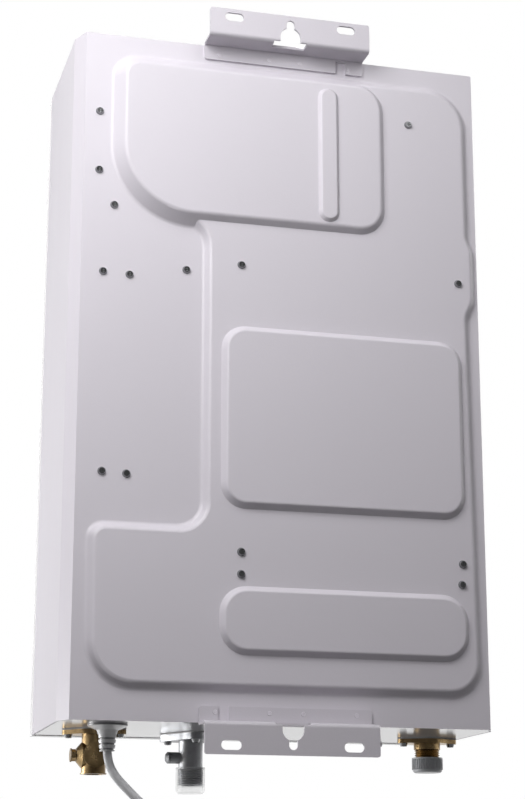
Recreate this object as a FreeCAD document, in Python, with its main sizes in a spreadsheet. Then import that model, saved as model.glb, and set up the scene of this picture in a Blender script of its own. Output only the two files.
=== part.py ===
import FreeCAD, Part
import Sketcher
import math
import os
import re

Vector = FreeCAD.Vector
Rotation = FreeCAD.Rotation

# The heater hangs on a wall. +Z is up, +Y points at the wall and -Y is the front cover's side.
# The origin is the middle of the two slots of the top bracket, on its wall face.
SIZES = [
    # Case
    ("case_width", 350, "outside width of the case"),
    ("case_height", 560, "height of the case"),
    ("case_depth", 160, "flat back to the face of the front cover"),
    ("steel", 1.0, "sheet thickness of the case"),
    ("seam_gap", 0.3, "gap between two sheets of the case"),
    ("bevel_width", 7, "width of the bevel along each upright back edge"),
    ("bevel_depth", 17, "depth of that bevel"),
    ("cover_rim", 20, "depth of the front cover's rim"),
    ("cover_round", 9, "rounding round the front cover's face"),
    ("lip_drop", 0.4, "how far the front cover's rim hangs below the case"),
    ("screw_tab_start", 7.2, "front end of the cover's screw tabs, from the cover's face"),
    # Embossing of the back
    ("emboss_slope", 0.9, "run of a pressed slope for each unit of its height"),
    ("step_height", 5.5, "height of the large pressed step"),
    ("step_round", 4, "rounding along the top of the large step"),
    ("panel_height", 10.5, "height of the pressed panel over the fan"),
    ("field_height", 10.5, "height of the pressed middle field"),
    ("foot_field_height", 10, "height of the pressed lower field"),
    ("field_round", 2.5, "rounding along the top of the two fields"),
    ("rib_height", 13.5, "height of the upright rib on the fan panel"),
    ("rib_round", 1.5, "rounding along the top of the rib"),
    # Wall brackets
    ("bracket_width", 138, "width of a wall bracket"),
    ("bracket_steel", 2.0, "sheet thickness of a wall bracket"),
    ("standoff", 22, "flat back to the wall"),
    ("flange_height", 25, "height of a bracket's wall flange"),
    ("slot_edge", 7, "slot centre to the edge of the flange"),
    ("slot_spacing", 96.5, "distance between the two slots"),
    ("slot_length", 16, "end-to-end length of a slot"),
    ("slot_width", 7.4, "width of a slot"),
    ("tab_height", 12.5, "height of a bracket's welded tab"),
    ("tab_notch", 8.8, "width of the notch in the tab"),
    ("tab_end", 15, "width of the short tab beside the notch"),
    ("corner_round", 2, "corner radius of a bracket's flange and tab"),
    ("bend_round", 3.5, "outside radius of a bracket's bend"),
    ("keyhole_head", 17.5, "width of the keyhole where a screw's head goes in"),
    ("keyhole_head_level", 5.6, "web to the middle of that part's round end"),
    ("keyhole_neck", 7, "width of the keyhole's neck"),
    ("keyhole_neck_top", 20.9, "web to the end of the keyhole's neck"),
    ("web_notch", 28, "width of the notch in the web under the keyhole"),
    ("web_notch_depth", 10, "depth of that notch"),
    # Screws
    ("tapper_radius", 1.9, "shank radius of a back screw"),
    ("tapper_length", 6, "length of a back screw under its head"),
    ("tapper_head", 3.4, "head radius of a back screw"),
    ("tapper_head_height", 2.1, "head height of a back screw"),
    ("recess_width", 0.7, "width of a cross recess"),
    ("recess_depth", 1.0, "depth of a cross recess"),
    ("screw_gap", 0.1, "clearance round a screw's shank"),
    ("machine_radius", 2.0, "shank radius of a flange screw"),
    ("machine_head", 3.6, "head radius of a flange screw"),
    ("machine_head_height", 2.6, "head height of a flange screw"),
    ("machine_length", 9, "length of a flange screw under its head"),
    # Water and gas fittings under the case
    ("fitting_gap", 0.3, "clearance round a fitting where it passes the bottom"),
    ("gasket_thick", 0.8, "thickness of a flange gasket"),
    ("flange_pitch", 41, "distance between the two screws of a water flange"),
    ("flange_lobe", 5, "end radius of a water flange"),
    ("flange_waist", 15, "middle radius of a water flange"),
    ("water_flange", 3.4, "thickness of a water flange"),
    ("thread_radius", 10.478, "outside radius of the pipe thread"),
    ("thread_pitch", 1.814, "pitch of the pipe thread"),
    ("thread_depth", 1.16, "depth of the pipe thread"),
    ("bore_radius", 6.65, "radius of the waterway"),
    ("cold_setback", 39.5, "side of the case to the cold inlet"),
    ("cold_depth", 75, "flat back to the cold inlet"),
    ("cold_turn", 20, "turn of the cold inlet's flange in degrees"),
    ("cold_length", 35, "length of the cold inlet below the case"),
    ("cold_body", 9.6, "outside radius of the cold inlet"),
    ("cold_lip", 10.4, "radius of the cold inlet's end lip"),
    ("cold_lip_height", 0.8, "height of that lip"),
    ("socket_radius", 7.2, "bore radius of the socket in the cold inlet's end"),
    ("socket_depth", 10, "depth of that socket"),
    ("branch_drop", 20.5, "case bottom to the axis of the cold inlet's branches"),
    ("branch_radius", 9.8, "radius of the round boss on the cold inlet"),
    ("branch_reach", 12, "cold inlet's axis to the face of that boss"),
    ("cone_reach", 14, "cold inlet's axis to the end of the drain cone"),
    ("cone_foot", 9.8, "radius of the drain cone where it starts"),
    ("cone_end", 5.2, "radius of the drain cone at its end"),
    ("cone_start", 10, "cold inlet's axis to the start of the drain cone"),
    ("drain_stem", 3.0, "stem radius of the drain plug"),
    ("drain_stem_length", 8, "length of the drain plug's stem"),
    ("drain_head", 4.7, "head radius of the drain plug"),
    ("drain_head_height", 3.3, "head height of the drain plug"),
    ("drain_rim", 5.3, "rim radius of the drain plug"),
    ("drain_rim_height", 0.9, "rim height of the drain plug"),
    ("turn_gap", 0.08, "radial running clearance of a turning pin"),
    ("face_gap", 0.3, "clearance between a moving face and its seat"),
    ("gas_setback", 122, "side of the case to the gas inlet"),
    ("gas_depth", 95, "flat back to the gas inlet"),
    ("gas_flange", 5.2, "thickness of the gas flange"),
    ("gas_lobe", 6.5, "corner radius of the gas flange"),
    ("gas_screw_circle", 19.5, "radius of the gas flange's screw circle"),
    ("gas_screw_turn", -31, "angle of the first gas flange screw in degrees"),
    ("gas_body", 9.7, "outside radius of the gas inlet"),
    ("gas_body_length", 28.5, "length of the gas inlet above its thread"),
    ("gas_thread_length", 13, "length of the gas inlet's thread"),
    ("test_drop", 19.5, "case bottom to the axis of the test point"),
    ("test_radius", 4.6, "radius of the gas test point"),
    ("test_reach", 17.2, "gas inlet's axis to the end of the test point"),
    ("test_head", 3.2, "head height of the test point's screw"),
    ("test_screw", 2.2, "radius of the test point's screw"),
    ("test_screw_length", 7, "length of the test point's screw"),
    ("cap_wall", 0.8, "wall of the gas inlet's cap"),
    ("cap_gap", 0.25, "clearance between a cap and its thread"),
    ("gas_cap_height", 20.5, "height of the gas inlet's cap"),
    ("gas_cap_floor", 5, "floor of the gas inlet's cap"),
    ("gas_cap_ribs", 16, "number of ribs round the gas inlet's cap"),
    ("gas_cap_rib", 0.35, "height of such a rib"),
    ("gas_cap_drop", 27, "case bottom to the mouth of the gas inlet's cap"),
    ("cap_ring", 1.2, "height of the smooth ring at a cap's mouth"),
    ("hot_setback", 28, "side of the case to the hot outlet"),
    ("hot_depth", 90, "flat back to the hot outlet"),
    ("hot_neck", 10.9, "radius of the hot outlet's neck"),
    ("hot_neck_length", 5, "length of the hot outlet's neck under its flange"),
    ("hot_thread_length", 15, "length of the hot outlet's thread"),
    ("hot_cap_drop", 15.8, "case bottom to the mouth of the hot outlet's cap"),
    ("hot_cap_height", 12, "height of the hot outlet's cap"),
    ("hot_cap_wall", 1.3, "wall of the hot outlet's cap inside its flutes"),
    ("hot_cap_floor", 2, "floor of the hot outlet's cap"),
    ("hot_cap_flutes", 40, "number of flutes round the hot outlet's cap"),
    ("hot_cap_flute", 0.7, "height of a flute"),
    ("spigot_height", 9, "height of a fitting's spigot inside the case"),
    # Mains lead
    ("cord_setback", 42, "side of the case to the mains lead's gland"),
    ("cord_depth", 31, "flat back to the gland"),
    ("cord_radius", 3.4, "radius of the mains lead"),
    ("gland_plate", 15.4, "radius of the gland's plate"),
    ("gland_rim", 1.6, "thickness of the gland's plate at its edge"),
    ("gland_plate_height", 4.6, "thickness of the gland's plate in the middle"),
    ("gland_dome", 8.4, "radius of the gland's dome at its foot"),
    ("gland_sleeve", 7, "radius of the gland's ribbed sleeve at its upper end"),
    ("gland_taper", 0.1, "loss of the sleeve's radius per millimetre of its length"),
    ("gland_length", 20.5, "length of the gland below the case"),
    ("gland_groove", 0.9, "depth of a groove in the sleeve"),
    ("gland_socket", 7, "depth of the lead's seat in the sleeve"),
    ("gland_dome_drop", 8, "case bottom to the foot of the dome"),
    ("gland_groove_pitch", 4, "step between two grooves of the sleeve"),
    ("gland_groove_width", 1.4, "width of a groove in the sleeve"),
    ("gland_stub_height", 5, "height of the gland's stub inside the case"),
    ("cord_seat_gap", 0.15, "radial clearance of the lead in its seat"),
    ("gland_stub", 8, "radius of the gland's stub inside the case"),
    ("coil_inner", 28, "radius of the innermost turn of the coil"),
    ("coil_pitch", 8.2, "step between two turns of the coil"),
    ("coil_layer", 8.2, "step between the two layers of the coil"),
    ("tie_wall", 1.2, "thickness of the tie round the coil"),
    ("tie_width", 6, "width of the tie"),
    ("tie_gap", 0.45, "clearance between the tie and the coil"),
    ("plug_radius", 18, "radius of the plug's head"),
    ("plug_depth", 16, "length of the plug's head"),
    ("plug_edge", 2.5, "rounding of the plug's head"),
    ("plug_grip", 30, "length of the plug's grip"),
    ("plug_grip_radius", 6.5, "radius of the grip where the lead comes in"),
    ("pin_radius", 2.4, "radius of a plug pin"),
    ("pin_length", 19, "length of a plug pin"),
    ("pin_spacing", 19, "distance between the two pins"),
    # Heat exchanger and burner
    ("core_setback", 37, "side of the case to the heat exchanger"),
    ("core_room", 170, "width of the case beside the heat exchanger, both sides together"),
    ("core_depth", 110, "depth of the heat exchanger"),
    ("core_gap", 25, "flat back to the heat exchanger"),
    ("copper", 1.0, "sheet thickness of the heat exchanger"),
    ("exchanger_low", 212, "case bottom to the bottom of the heat exchanger"),
    ("exchanger_high", 376, "case bottom to the top of the heat exchanger"),
    ("fin_margin", 8.4, "width of the heat exchanger that the fins leave free"),
    ("fin_thick", 0.4, "thickness of a fin"),
    ("fin_height", 34, "height of a fin"),
    ("fin_count", 39, "number of fins"),
    ("tube_level", 354, "case bottom to the exchanger's tubes"),
    ("tube_radius", 7.5, "outside radius of an exchanger tube"),
    ("tube_pitch", 20, "step between two exchanger tubes"),
    ("tube_reach", 5, "how far a tube stands out of the exchanger"),
    ("fit_gap", 0.05, "radial clearance of a tube in its hole"),
    ("pipe_radius", 6.35, "outside radius of a water pipe"),
    ("pipe_wall", 0.8, "wall of a pipe"),
    ("joint_depth", 5, "how far a pipe reaches into its joint"),
    ("cold_turn_in", 38, "heat exchanger to the knee of the cold pipe"),
    ("hot_knee_high", 60, "case bottom to the upper knee of the hot pipe"),
    ("hot_knee_low", 30, "case bottom to the lower knee of the hot pipe"),
    ("thermistor_level", 200, "case bottom to the outlet thermistor"),
    ("thermistor_height", 14, "height of the thermistor's clip"),
    ("cutout_level", 300, "case bottom to the overheat cutout"),
    ("cutout_radius", 8, "radius of the overheat cutout"),
    ("cutout_height", 9, "height of the overheat cutout"),
    ("pipe_bend", 14, "bend radius of a pipe's centre line"),
    ("burner_low", 122, "case bottom to the bottom of the burner frame"),
    ("burner_inset", 2, "burner frame's setback from the exchanger"),
    ("burner_wall", 1.2, "sheet thickness of the burner frame"),
    ("bar_margin", 10, "width of the heat exchanger that the burner bars leave free"),
    ("bar_thick", 9, "thickness of a burner bar"),
    ("bar_height", 62, "height of a burner bar"),
    ("bar_port", 3, "width of the flame slot on a burner bar"),
    ("bar_port_depth", 5, "depth of that slot"),
    ("bar_rise", 4, "burner bar's foot above the frame's rails"),
    ("throat_radius", 3.4, "radius of a burner bar's throat"),
    ("throat_depth", 30, "depth of a burner bar's throat"),
    ("manifold_size", 14, "side of the square gas manifold"),
    ("manifold_wall", 1.5, "wall of the gas manifold"),
    ("nozzle_radius", 2.4, "foot radius of a gas nozzle"),
    ("nozzle_tip", 1.4, "tip radius of a gas nozzle"),
    ("nozzle_hole", 0.55, "radius of a nozzle's hole"),
    ("nozzle_length", 6, "length of a gas nozzle"),
    ("rail_depth", 9, "depth of the rails under the burner bars"),
    ("throat_rise", 10, "burner bar's foot to its throat"),
    ("manifold_gap", 1, "heat exchanger's face to the gas manifold"),
    ("electrode_radius", 3, "radius of an electrode's ceramic"),
    ("electrode_reach", 14, "length of an electrode's ceramic on each side of the wall"),
    ("electrode_level", 222, "case bottom to the electrodes"),
    ("electrode_step", 17, "distance between the two electrodes"),
    ("bar_count", 10, "number of burner bars"),
    ("upper_bar_level", 366, "case bottom to the upper crossbar"),
    ("upper_bar_height", 18, "height of the upper crossbar"),
    ("lower_bar_level", 122, "case bottom to the lower crossbar"),
    ("lower_bar_height", 28, "height of the lower crossbar"),
    ("bar_steel", 1.5, "sheet thickness of a crossbar"),
    ("bar_setback", 24.5, "side of the case to the near end of a crossbar"),
    ("bar_reach", 12.5, "heat exchanger to the far end of a crossbar"),
    ("leg_inset", 8, "side of the heat exchanger to a leg of the crossbar"),
    ("strap_setback", 13, "side of the case to the end of the long fan strap"),
    ("strap_low", 404, "case bottom to the long fan strap"),
    ("strap_high", 500, "case bottom to the top of that strap"),
    ("left_strap_level", 504, "case bottom to the short fan strap"),
    ("left_strap_knee", 98, "middle to the knee of the short fan strap"),
    ("left_strap_end", 114, "middle to the end of that strap"),
    # Fan and flue
    ("hood_height", 26, "height of the hood over the exchanger"),
    ("duct_gap", 1, "inside of the back to the duct"),
    ("duct_depth", 36, "depth of the duct behind the fan"),
    ("duct_width", 108, "width of the duct behind the fan"),
    ("duct_top", 522, "case bottom to the top of the duct"),
    ("fan_level", 474, "case bottom to the fan's axis"),
    ("fan_width", 66, "width of the fan's scroll"),
    ("scroll_radius", 56, "radius of the fan's scroll"),
    ("outlet_width", 58, "width of the scroll's outlet"),
    ("eye_radius", 30, "radius of the fan's inlet eye"),
    ("fan_steel", 1.0, "sheet thickness of the fan's housing"),
    ("wheel_radius", 42, "radius of the fan wheel"),
    ("wheel_setback", 6, "front of the fan's housing to the fan wheel"),
    ("shaft_inside", 24, "length of the shaft inside the motor"),
    ("shaft_outside", 28, "length of the shaft inside the fan"),
    ("wheel_width", 52, "width of the fan wheel"),
    ("wheel_plate", 1.2, "thickness of the wheel's back plate"),
    ("wheel_ring", 34, "inside radius of the wheel's front ring"),
    ("blade_count", 28, "number of blades on the fan wheel"),
    ("blade_length", 7, "length of a blade"),
    ("blade_thick", 0.8, "thickness of a blade"),
    ("blade_tilt", 35, "tilt of a blade in degrees"),
    ("shaft_radius", 3, "radius of the motor shaft"),
    ("motor_radius", 27, "radius of the fan motor"),
    ("motor_length", 32, "length of the fan motor"),
    ("flue_radius", 30, "outside radius of the flue collar"),
    ("flue_wall", 0.8, "wall of the flue collar"),
    ("flue_height", 30, "height of the flue collar"),
    ("flue_plate", 76, "side of the flue collar's plate"),
    ("flue_plate_thick", 1.2, "thickness of the flue collar's plate"),
    # Gas valve
    ("valve_width", 50, "width of the gas valve"),
    ("valve_depth", 56, "depth of the gas valve"),
    ("valve_height", 78, "height of the gas valve"),
    ("coil_radius", 13, "radius of a solenoid"),
    ("coil_cheek", 2, "thickness of a solenoid's cheek"),
    ("block_round", 4, "corner radius of the gas valve"),
    ("outlet_step", 15, "gas inlet's axis to the valve's outlet"),
    ("modulator_step", 9, "gas inlet's axis to the modulating coil"),
    ("port_depth", 8, "depth of the valve's outlet"),
    ("coil_length", 34, "length of a solenoid"),
    ("main_coil_level", 52, "case bottom to the main solenoid"),
    ("core_bore", 5, "radius of a solenoid's plunger bore"),
    ("plunger_gap", 0.1, "radial clearance of a plunger"),
    ("plunger_length", 20, "length of a plunger"),
    ("plunger_cap", 2, "wall at the end of a plunger's bore"),
    ("gas_pipe_radius", 5, "outside radius of the gas pipe"),
    # Water flow sensor
    ("sensor_radius", 15, "radius of the flow sensor"),
    ("sensor_height", 62, "height of the flow sensor"),
    ("neck_height", 10, "height of the flow sensor's neck"),
    ("sensor_bore", 10.5, "bore radius of the flow sensor"),
    ("rotor_radius", 9.3, "radius of the flow rotor"),
    ("rotor_height", 14, "height of the flow rotor"),
    ("rotor_hub", 3, "hub radius of the flow rotor"),
    ("rotor_blade", 1.2, "thickness of a rotor blade"),
    ("rotor_blades", 6, "number of rotor blades"),
    ("rotor_pin", 1.4, "pin radius of the flow rotor"),
    ("rotor_pin_length", 4, "length of each rotor pin"),
    ("rotor_level", 34, "case bottom to the middle of the rotor"),
    ("spider_bar", 3.2, "thickness of a spider's bar"),
    ("spider_hub", 3.2, "hub radius of a spider"),
    # Controls
    ("control_low", 194, "case bottom to the controller"),
    ("control_height", 152, "height of the controller"),
    ("control_width", 62, "width of the controller"),
    ("control_depth", 34, "depth of the controller"),
    ("control_setback", 39, "side of the case to the controller's middle"),
    ("control_tab", 17, "half width of the controller's tabs"),
    ("plastic", 1.8, "wall of a plastic housing"),
    ("board_thick", 1.6, "thickness of a circuit board"),
    ("board_rise", 5, "controller's back wall to its circuit board"),
    ("transformer_width", 44, "width of the transformer"),
    ("transformer_depth", 34, "depth of the transformer"),
    ("transformer_gap", 6, "inside of the back to the transformer"),
    ("transformer_height", 30, "height of the transformer's core"),
    ("igniter_width", 50, "width of the spark igniter"),
    ("igniter_depth", 26, "depth of the spark igniter"),
    ("igniter_height", 30, "height of the spark igniter"),
    ("igniter_setback", 66, "side of the case to the spark igniter's middle"),
    ("igniter_low", 368, "case bottom to the spark igniter"),
    ("switch_radius", 24, "radius of the air pressure switch"),
    ("switch_depth", 22, "depth of the air pressure switch"),
    ("switch_level", 470, "case bottom to the air pressure switch"),
    ("switch_setback", 57, "side of the case to the air pressure switch's middle"),
    ("panel_level", 150, "case bottom to the display window"),
    ("window_width", 74, "width of the display window"),
    ("window_height", 34, "height of the display window"),
    ("window_thick", 2, "thickness of the display window"),
    ("button_radius", 7, "radius of a button"),
    ("button_rise", 1.5, "how far a button stands out of the cover"),
    ("button_flange", 9, "radius of a button's inside flange"),
    ("button_flange_thick", 1.5, "thickness of that flange"),
    ("button_pitch", 34, "step between two buttons"),
    ("button_drop", 36, "display window's middle down to the buttons"),
    ("display_board_half", 48, "half the width of the display board"),
    ("switch_rise", 1.7, "height of a switch behind a button"),
    ("cover_screw_across", 125, "middle to a cover screw"),
    ("display_board_gap", 5, "front cover's inner face to the display board"),
    ("louvre_width", 44, "width of an air slot in the cover"),
    ("louvre_height", 4, "height of an air slot"),
    ("louvre_pitch", 12, "step between two rows of air slots"),
    ("louvre_rows", 4, "rows of air slots"),
    ("louvre_low", 28, "case bottom to the lowest row of air slots"),
    ("louvre_step", 60, "step between two columns of air slots"),
]

# Planes and middles that several pieces share, written from the sizes.
PLACES = {
    "back": "-standoff",
    "front": "-standoff - case_depth",
    "top": "-(flange_height - slot_edge)",
    "base": "-(flange_height - slot_edge) - case_height",
    "half_width": "case_width / 2",
    "back_inside": "-standoff - steel",
    "step_inside": "-standoff + step_height - steel",
    "front_inside": "-standoff - case_depth + steel",
    "core_rear": "-standoff - core_gap",
    "core_fore": "-standoff - core_gap - core_depth",
    "cold_across": "case_width / 2 - cold_setback",
    "gas_across": "case_width / 2 - gas_setback",
    "hot_across": "case_width / 2 - hot_setback",
    "cord_across": "case_width / 2 - cord_setback",
    "control_across": "case_width / 2 - control_setback",
    "igniter_across": "case_width / 2 - igniter_setback",
    "switch_across": "case_width / 2 - switch_setback",
    "strap_right": "case_width / 2 - strap_setback",
    "core_width": "case_width - core_room",
    "core_across": "case_width / 2 - core_setback - core_width / 2",
    "core_left": "-core_across - core_width / 2",
    "core_right": "-core_across + core_width / 2",
    "fin_pitch": "(core_width - fin_margin) / fin_count",
    "bar_pitch": "(core_width - bar_margin) / bar_count",
    "fan_across": "core_across - core_width / 2 + duct_width / 2",
    "flue_across": "fan_across + scroll_radius - outlet_width / 2",
    "coil_outer": "coil_inner + 2.5 * coil_pitch",
    "core_middle": "-standoff - core_gap - core_depth / 2",
    "floor": "-(flange_height - slot_edge) - case_height + steel",
    "fan_rear": "-standoff - steel - duct_depth",
    "fan_fore": "-standoff - steel - duct_depth - fan_width",
    "fan_high": "-(flange_height - slot_edge) - case_height + fan_level",
    "fan_mid": "-standoff - steel - duct_depth - fan_width / 2",
    "duct_left": "-fan_across - duct_width / 2",
    "outlet_left": "-fan_across - scroll_radius",
    "hood_low": "-(flange_height - slot_edge) - case_height + exchanger_high",
    "tube_high": "-(flange_height - slot_edge) - case_height + tube_level",
    "cold_y": "-standoff - cold_depth",
    "gas_y": "-standoff - gas_depth",
    "hot_y": "-standoff - hot_depth",
    "cord_y": "-standoff - cord_depth",
    "joint_under": "-(flange_height - slot_edge) - case_height - gasket_thick",
}

# Back screws: place across the case, height over the case bottom, and the name of the pressed
# level that each one sits on.
BACK_SCREWS = [
    ("half_width - 19.5", 491, "flat"), ("half_width - 20", 440, "flat"),
    ("half_width - 33", 411, "flat"), ("half_width - 25", 354, "flat"),
    ("half_width - 46.5", 353, "flat"), ("half_width - 27.5", 191, "flat"),
    ("half_width - 47", 190, "flat"), ("half_width - 93", 361, "flat"), ("37.6", 367.3, "step"),
    ("26 - half_width", 367.3, "step"), ("-107.8", 505.6, "step"), ("37.1", 131.7, "step"),
    ("37.1", 114.2, "step"), ("28.6 - half_width", 130.2, "step"), ("29.6 - half_width", 113.6, "step"),
]

# Corners of the pressed areas: place across the case, height over the case bottom, and corner
# radius.
STEP_CORNERS = [
    ("100", 440, 14), ("100", 403, 8), ("68", 403, 22), ("68", 151, 20), ("half_width - 17", 151, 13),
    ("half_width - 18.5", 24, 36), ("13 - half_width", 24, 28), ("16 - half_width", 338, 14),
    ("9.5 - half_width", 352, 14), ("9.5 - half_width", 397, 14), ("14 - half_width", 409, 14),
    ("14 - half_width", 543, 36), ("66", 543, 14), ("66", 440, 14),
]
PANEL_CORNERS = [
    ("half_width - 30", 398, 66), ("half_width - 30", 543, 20), ("-90.5", 543, 30), ("-90.5", 398, 28),
]
FIELD_CORNERS = [
    ("54", 166, 20), ("54", 315.5, 20), ("25 - half_width", 315.5, 20), ("25 - half_width", 166, 20),
]
FOOT_FIELD_CORNERS = [
    ("54.5", 51.5, 22), ("54.5", 105, 22), ("25 - half_width", 105, 22), ("25 - half_width", 51.5, 22),
]
RIB_CORNERS = [
    ("-26.5", 409.5, 8.9), ("-26.5", 528.5, 8.9), ("-44.5", 528.5, 8.9), ("-44.5", 409.5, 8.9),
]

# Steps of the mains lead from its seat in the gland to the coil, and from the coil to the plug.
LEAD_STEPS = [
    (0, 0, 0), (0, 0, -12.5), (-5.7, 0, -24.7), (-16.3, 0, -35.3), (-29.1, -1, -47.2),
    (-45.9, -2.6, -56.7), (-63.5, -4, -62.5), (-81, -4, -62.5),
]
TAIL_STEPS = [(0, 0, 0), (0, 0, -22), (-5, 0, -46), (-5, 0, -68)]

doc = FreeCAD.newDocument("TanklessWaterHeater")
sheet = doc.addObject("Spreadsheet::Sheet", "Sizes")
for row, (alias, number, note) in enumerate(SIZES, 1):
    sheet.set(f"A{row}", note)
    sheet.set(f"B{row}", str(number))
    sheet.setAlias(f"B{row}", alias)
doc.recompute()
ALIASES = {alias for alias, number, note in SIZES}
SUB_PARTS = []


def opened(formula):
    """A formula with its places written out, down to sizes."""
    return re.sub(
        r"[a-z_]+",
        lambda word: f"({opened(PLACES[word[0]])})" if word[0] in PLACES else word[0],
        str(formula),
    )


def full(formula):
    """A formula whose sizes point at the sheet."""
    return re.sub(
        r"[a-z_]+",
        lambda word: f"Sizes.{word[0]}" if word[0] in ALIASES else word[0],
        opened(formula),
    )


def value(formula):
    """The number that a formula comes to."""
    return float(sheet.evalExpression(full(formula)))


def point(x, y, z):
    return Vector(value(x), value(y), value(z))


def sub_part(thing, label):
    """Give a finished piece its label, which names its file."""
    thing.Label = label
    SUB_PARTS.append(thing)
    return thing


def place(thing, x, y, z, turn=None):
    """Bind the position of a piece, after setting its turn."""
    thing.Placement = FreeCAD.Placement(Vector(), turn or Rotation())
    for axis, formula in zip("xyz", (x, y, z)):
        thing.setExpression(f"Placement.Base.{axis}", full(formula))
    return thing


def box(name, across, deep, high):
    """A box between three pairs of formulas."""
    thing = doc.addObject("Part::Box", name)
    for side, (low, end) in zip(("Length", "Width", "Height"), (across, deep, high)):
        thing.setExpression(side, full(f"({end}) - ({low})"))
    return place(thing, across[0], deep[0], high[0])


TURNS = {
    "z": Rotation(),
    "-z": Rotation(Vector(1, 0, 0), 180),
    "x": Rotation(Vector(0, 1, 0), 90),
    "-x": Rotation(Vector(0, 1, 0), -90),
    "y": Rotation(Vector(1, 0, 0), -90),
    "-y": Rotation(Vector(1, 0, 0), 90),
}


def rod(name, radius, length, x, y, z, axis="z"):
    """A cylinder that starts at a point and runs along an axis."""
    thing = doc.addObject("Part::Cylinder", name)
    thing.setExpression("Radius", full(radius))
    thing.setExpression("Height", full(length))
    return place(thing, x, y, z, TURNS[axis])


def cone(name, radius, end_radius, length, x, y, z, axis="z"):
    """A cone that starts at a point and runs along an axis."""
    thing = doc.addObject("Part::Cone", name)
    thing.setExpression("Radius1", full(radius))
    thing.setExpression("Radius2", full(end_radius))
    thing.setExpression("Height", full(length))
    return place(thing, x, y, z, TURNS[axis])


def fuse(name, *pieces):
    thing = doc.addObject("Part::MultiFuse", name)
    thing.Shapes = list(pieces)
    return thing


def cut(name, base, *tools):
    thing = doc.addObject("Part::Cut", name)
    thing.Base = base
    thing.Tool = tools[0] if len(tools) == 1 else fuse(name + "_tools", *tools)
    return thing


def group(name, pieces):
    """Several separate solids that share one file."""
    thing = doc.addObject("Part::Compound", name)
    thing.Links = list(pieces)
    return thing


def made(name, shape):
    """A shape worked out in code from the sheet's sizes."""
    thing = doc.addObject("Part::Feature", name)
    thing.Shape = shape
    thing.Placement = FreeCAD.Placement()
    return thing


def plane_of(body, role):
    return next(item for item in body.Origin.OriginFeatures if item.Role == role)


def new_body(name):
    return doc.addObject("PartDesign::Body", name)


def polygon_sketch(body, name, role, corners, offset="0"):
    """A closed polygon whose every corner is bound to a pair of formulas."""
    sketch = body.newObject("Sketcher::SketchObject", name)
    sketch.AttachmentSupport = [(plane_of(body, role), "")]
    sketch.MapMode = "FlatFace"
    sketch.setExpression("AttachmentOffset.Base.z", full(offset))
    spots = [Vector(value(across), value(up), 0) for across, up in corners]
    count = len(spots)
    for index in range(count):
        sketch.addGeometry(Part.LineSegment(spots[index], spots[(index + 1) % count]), False)
    for index in range(count):
        sketch.addConstraint(
            Sketcher.Constraint("Coincident", index, 2, (index + 1) % count, 1)
        )
    for index, spot in enumerate(spots):
        for kind, number, formula in zip(
            ("DistanceX", "DistanceY"), (spot.x, spot.y), corners[index]
        ):
            rule = sketch.addConstraint(Sketcher.Constraint(kind, -1, 1, index, 1, number))
            sketch.setExpression(f"Constraints[{rule}]", full(formula))
    return sketch


def circle_sketch(body, name, role, x, y, radius, offset="0"):
    """A circle bound to formulas for its middle and radius."""
    sketch = body.newObject("Sketcher::SketchObject", name)
    sketch.AttachmentSupport = [(plane_of(body, role), "")]
    sketch.MapMode = "FlatFace"
    sketch.setExpression("AttachmentOffset.Base.z", full(offset))
    middle = Vector(value(x), value(y), 0)
    sketch.addGeometry(Part.Circle(middle, Vector(0, 0, 1), value(radius)), False)
    rules = (("DistanceX", middle.x, x), ("DistanceY", middle.y, y))
    for kind, number, formula in rules:
        rule = sketch.addConstraint(Sketcher.Constraint(kind, -1, 1, 0, 3, number))
        sketch.setExpression(f"Constraints[{rule}]", full(formula))
    rule = sketch.addConstraint(Sketcher.Constraint("Radius", 0, value(radius)))
    sketch.setExpression(f"Constraints[{rule}]", full(radius))
    return sketch


def pad(body, sketch, length, both_ways=False, backwards=False):
    feature = body.newObject("PartDesign::Pad", sketch.Name + "_pad")
    feature.Profile = sketch
    feature.setExpression("Length", full(length))
    feature.Midplane = both_ways
    feature.Reversed = backwards
    return feature


def pocket(body, sketch, length, both_ways=False, backwards=False):
    feature = body.newObject("PartDesign::Pocket", sketch.Name + "_pocket")
    feature.Profile = sketch
    feature.setExpression("Length", full(length))
    feature.Midplane = both_ways
    feature.Reversed = backwards
    return feature


def revolve(body, sketch):
    feature = body.newObject("PartDesign::Revolution", sketch.Name + "_turned")
    feature.Profile = sketch
    feature.ReferenceAxis = (sketch, ["V_Axis"])
    feature.Angle = 360
    return feature


def around(body, feature, count):
    """Repeat a feature round the body's own Z axis."""
    pattern = body.newObject("PartDesign::PolarPattern", feature.Name + "_round")
    pattern.Originals = [feature]
    axis = next(item for item in body.Origin.OriginFeatures if item.Role == "Z_Axis")
    pattern.Axis = (axis, [""])
    pattern.Angle = 360
    pattern.setExpression("Occurrences", full(count))
    body.Tip = pattern
    return pattern


def edges_where(shape, test):
    """Names of the edges whose box passes a test."""
    return [
        f"Edge{number}" for number, edge in enumerate(shape.Edges, 1) if test(edge.BoundBox)
    ]


def dressed(body, kind, edges, radius):
    """A fillet on chosen edges of the body's tip."""
    base = body.Tip
    feature = body.newObject("PartDesign::" + kind, f"{body.Name}_{kind.lower()}")
    feature.Base = (base, edges)
    feature.setExpression("Radius", full(radius))
    return feature


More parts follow.
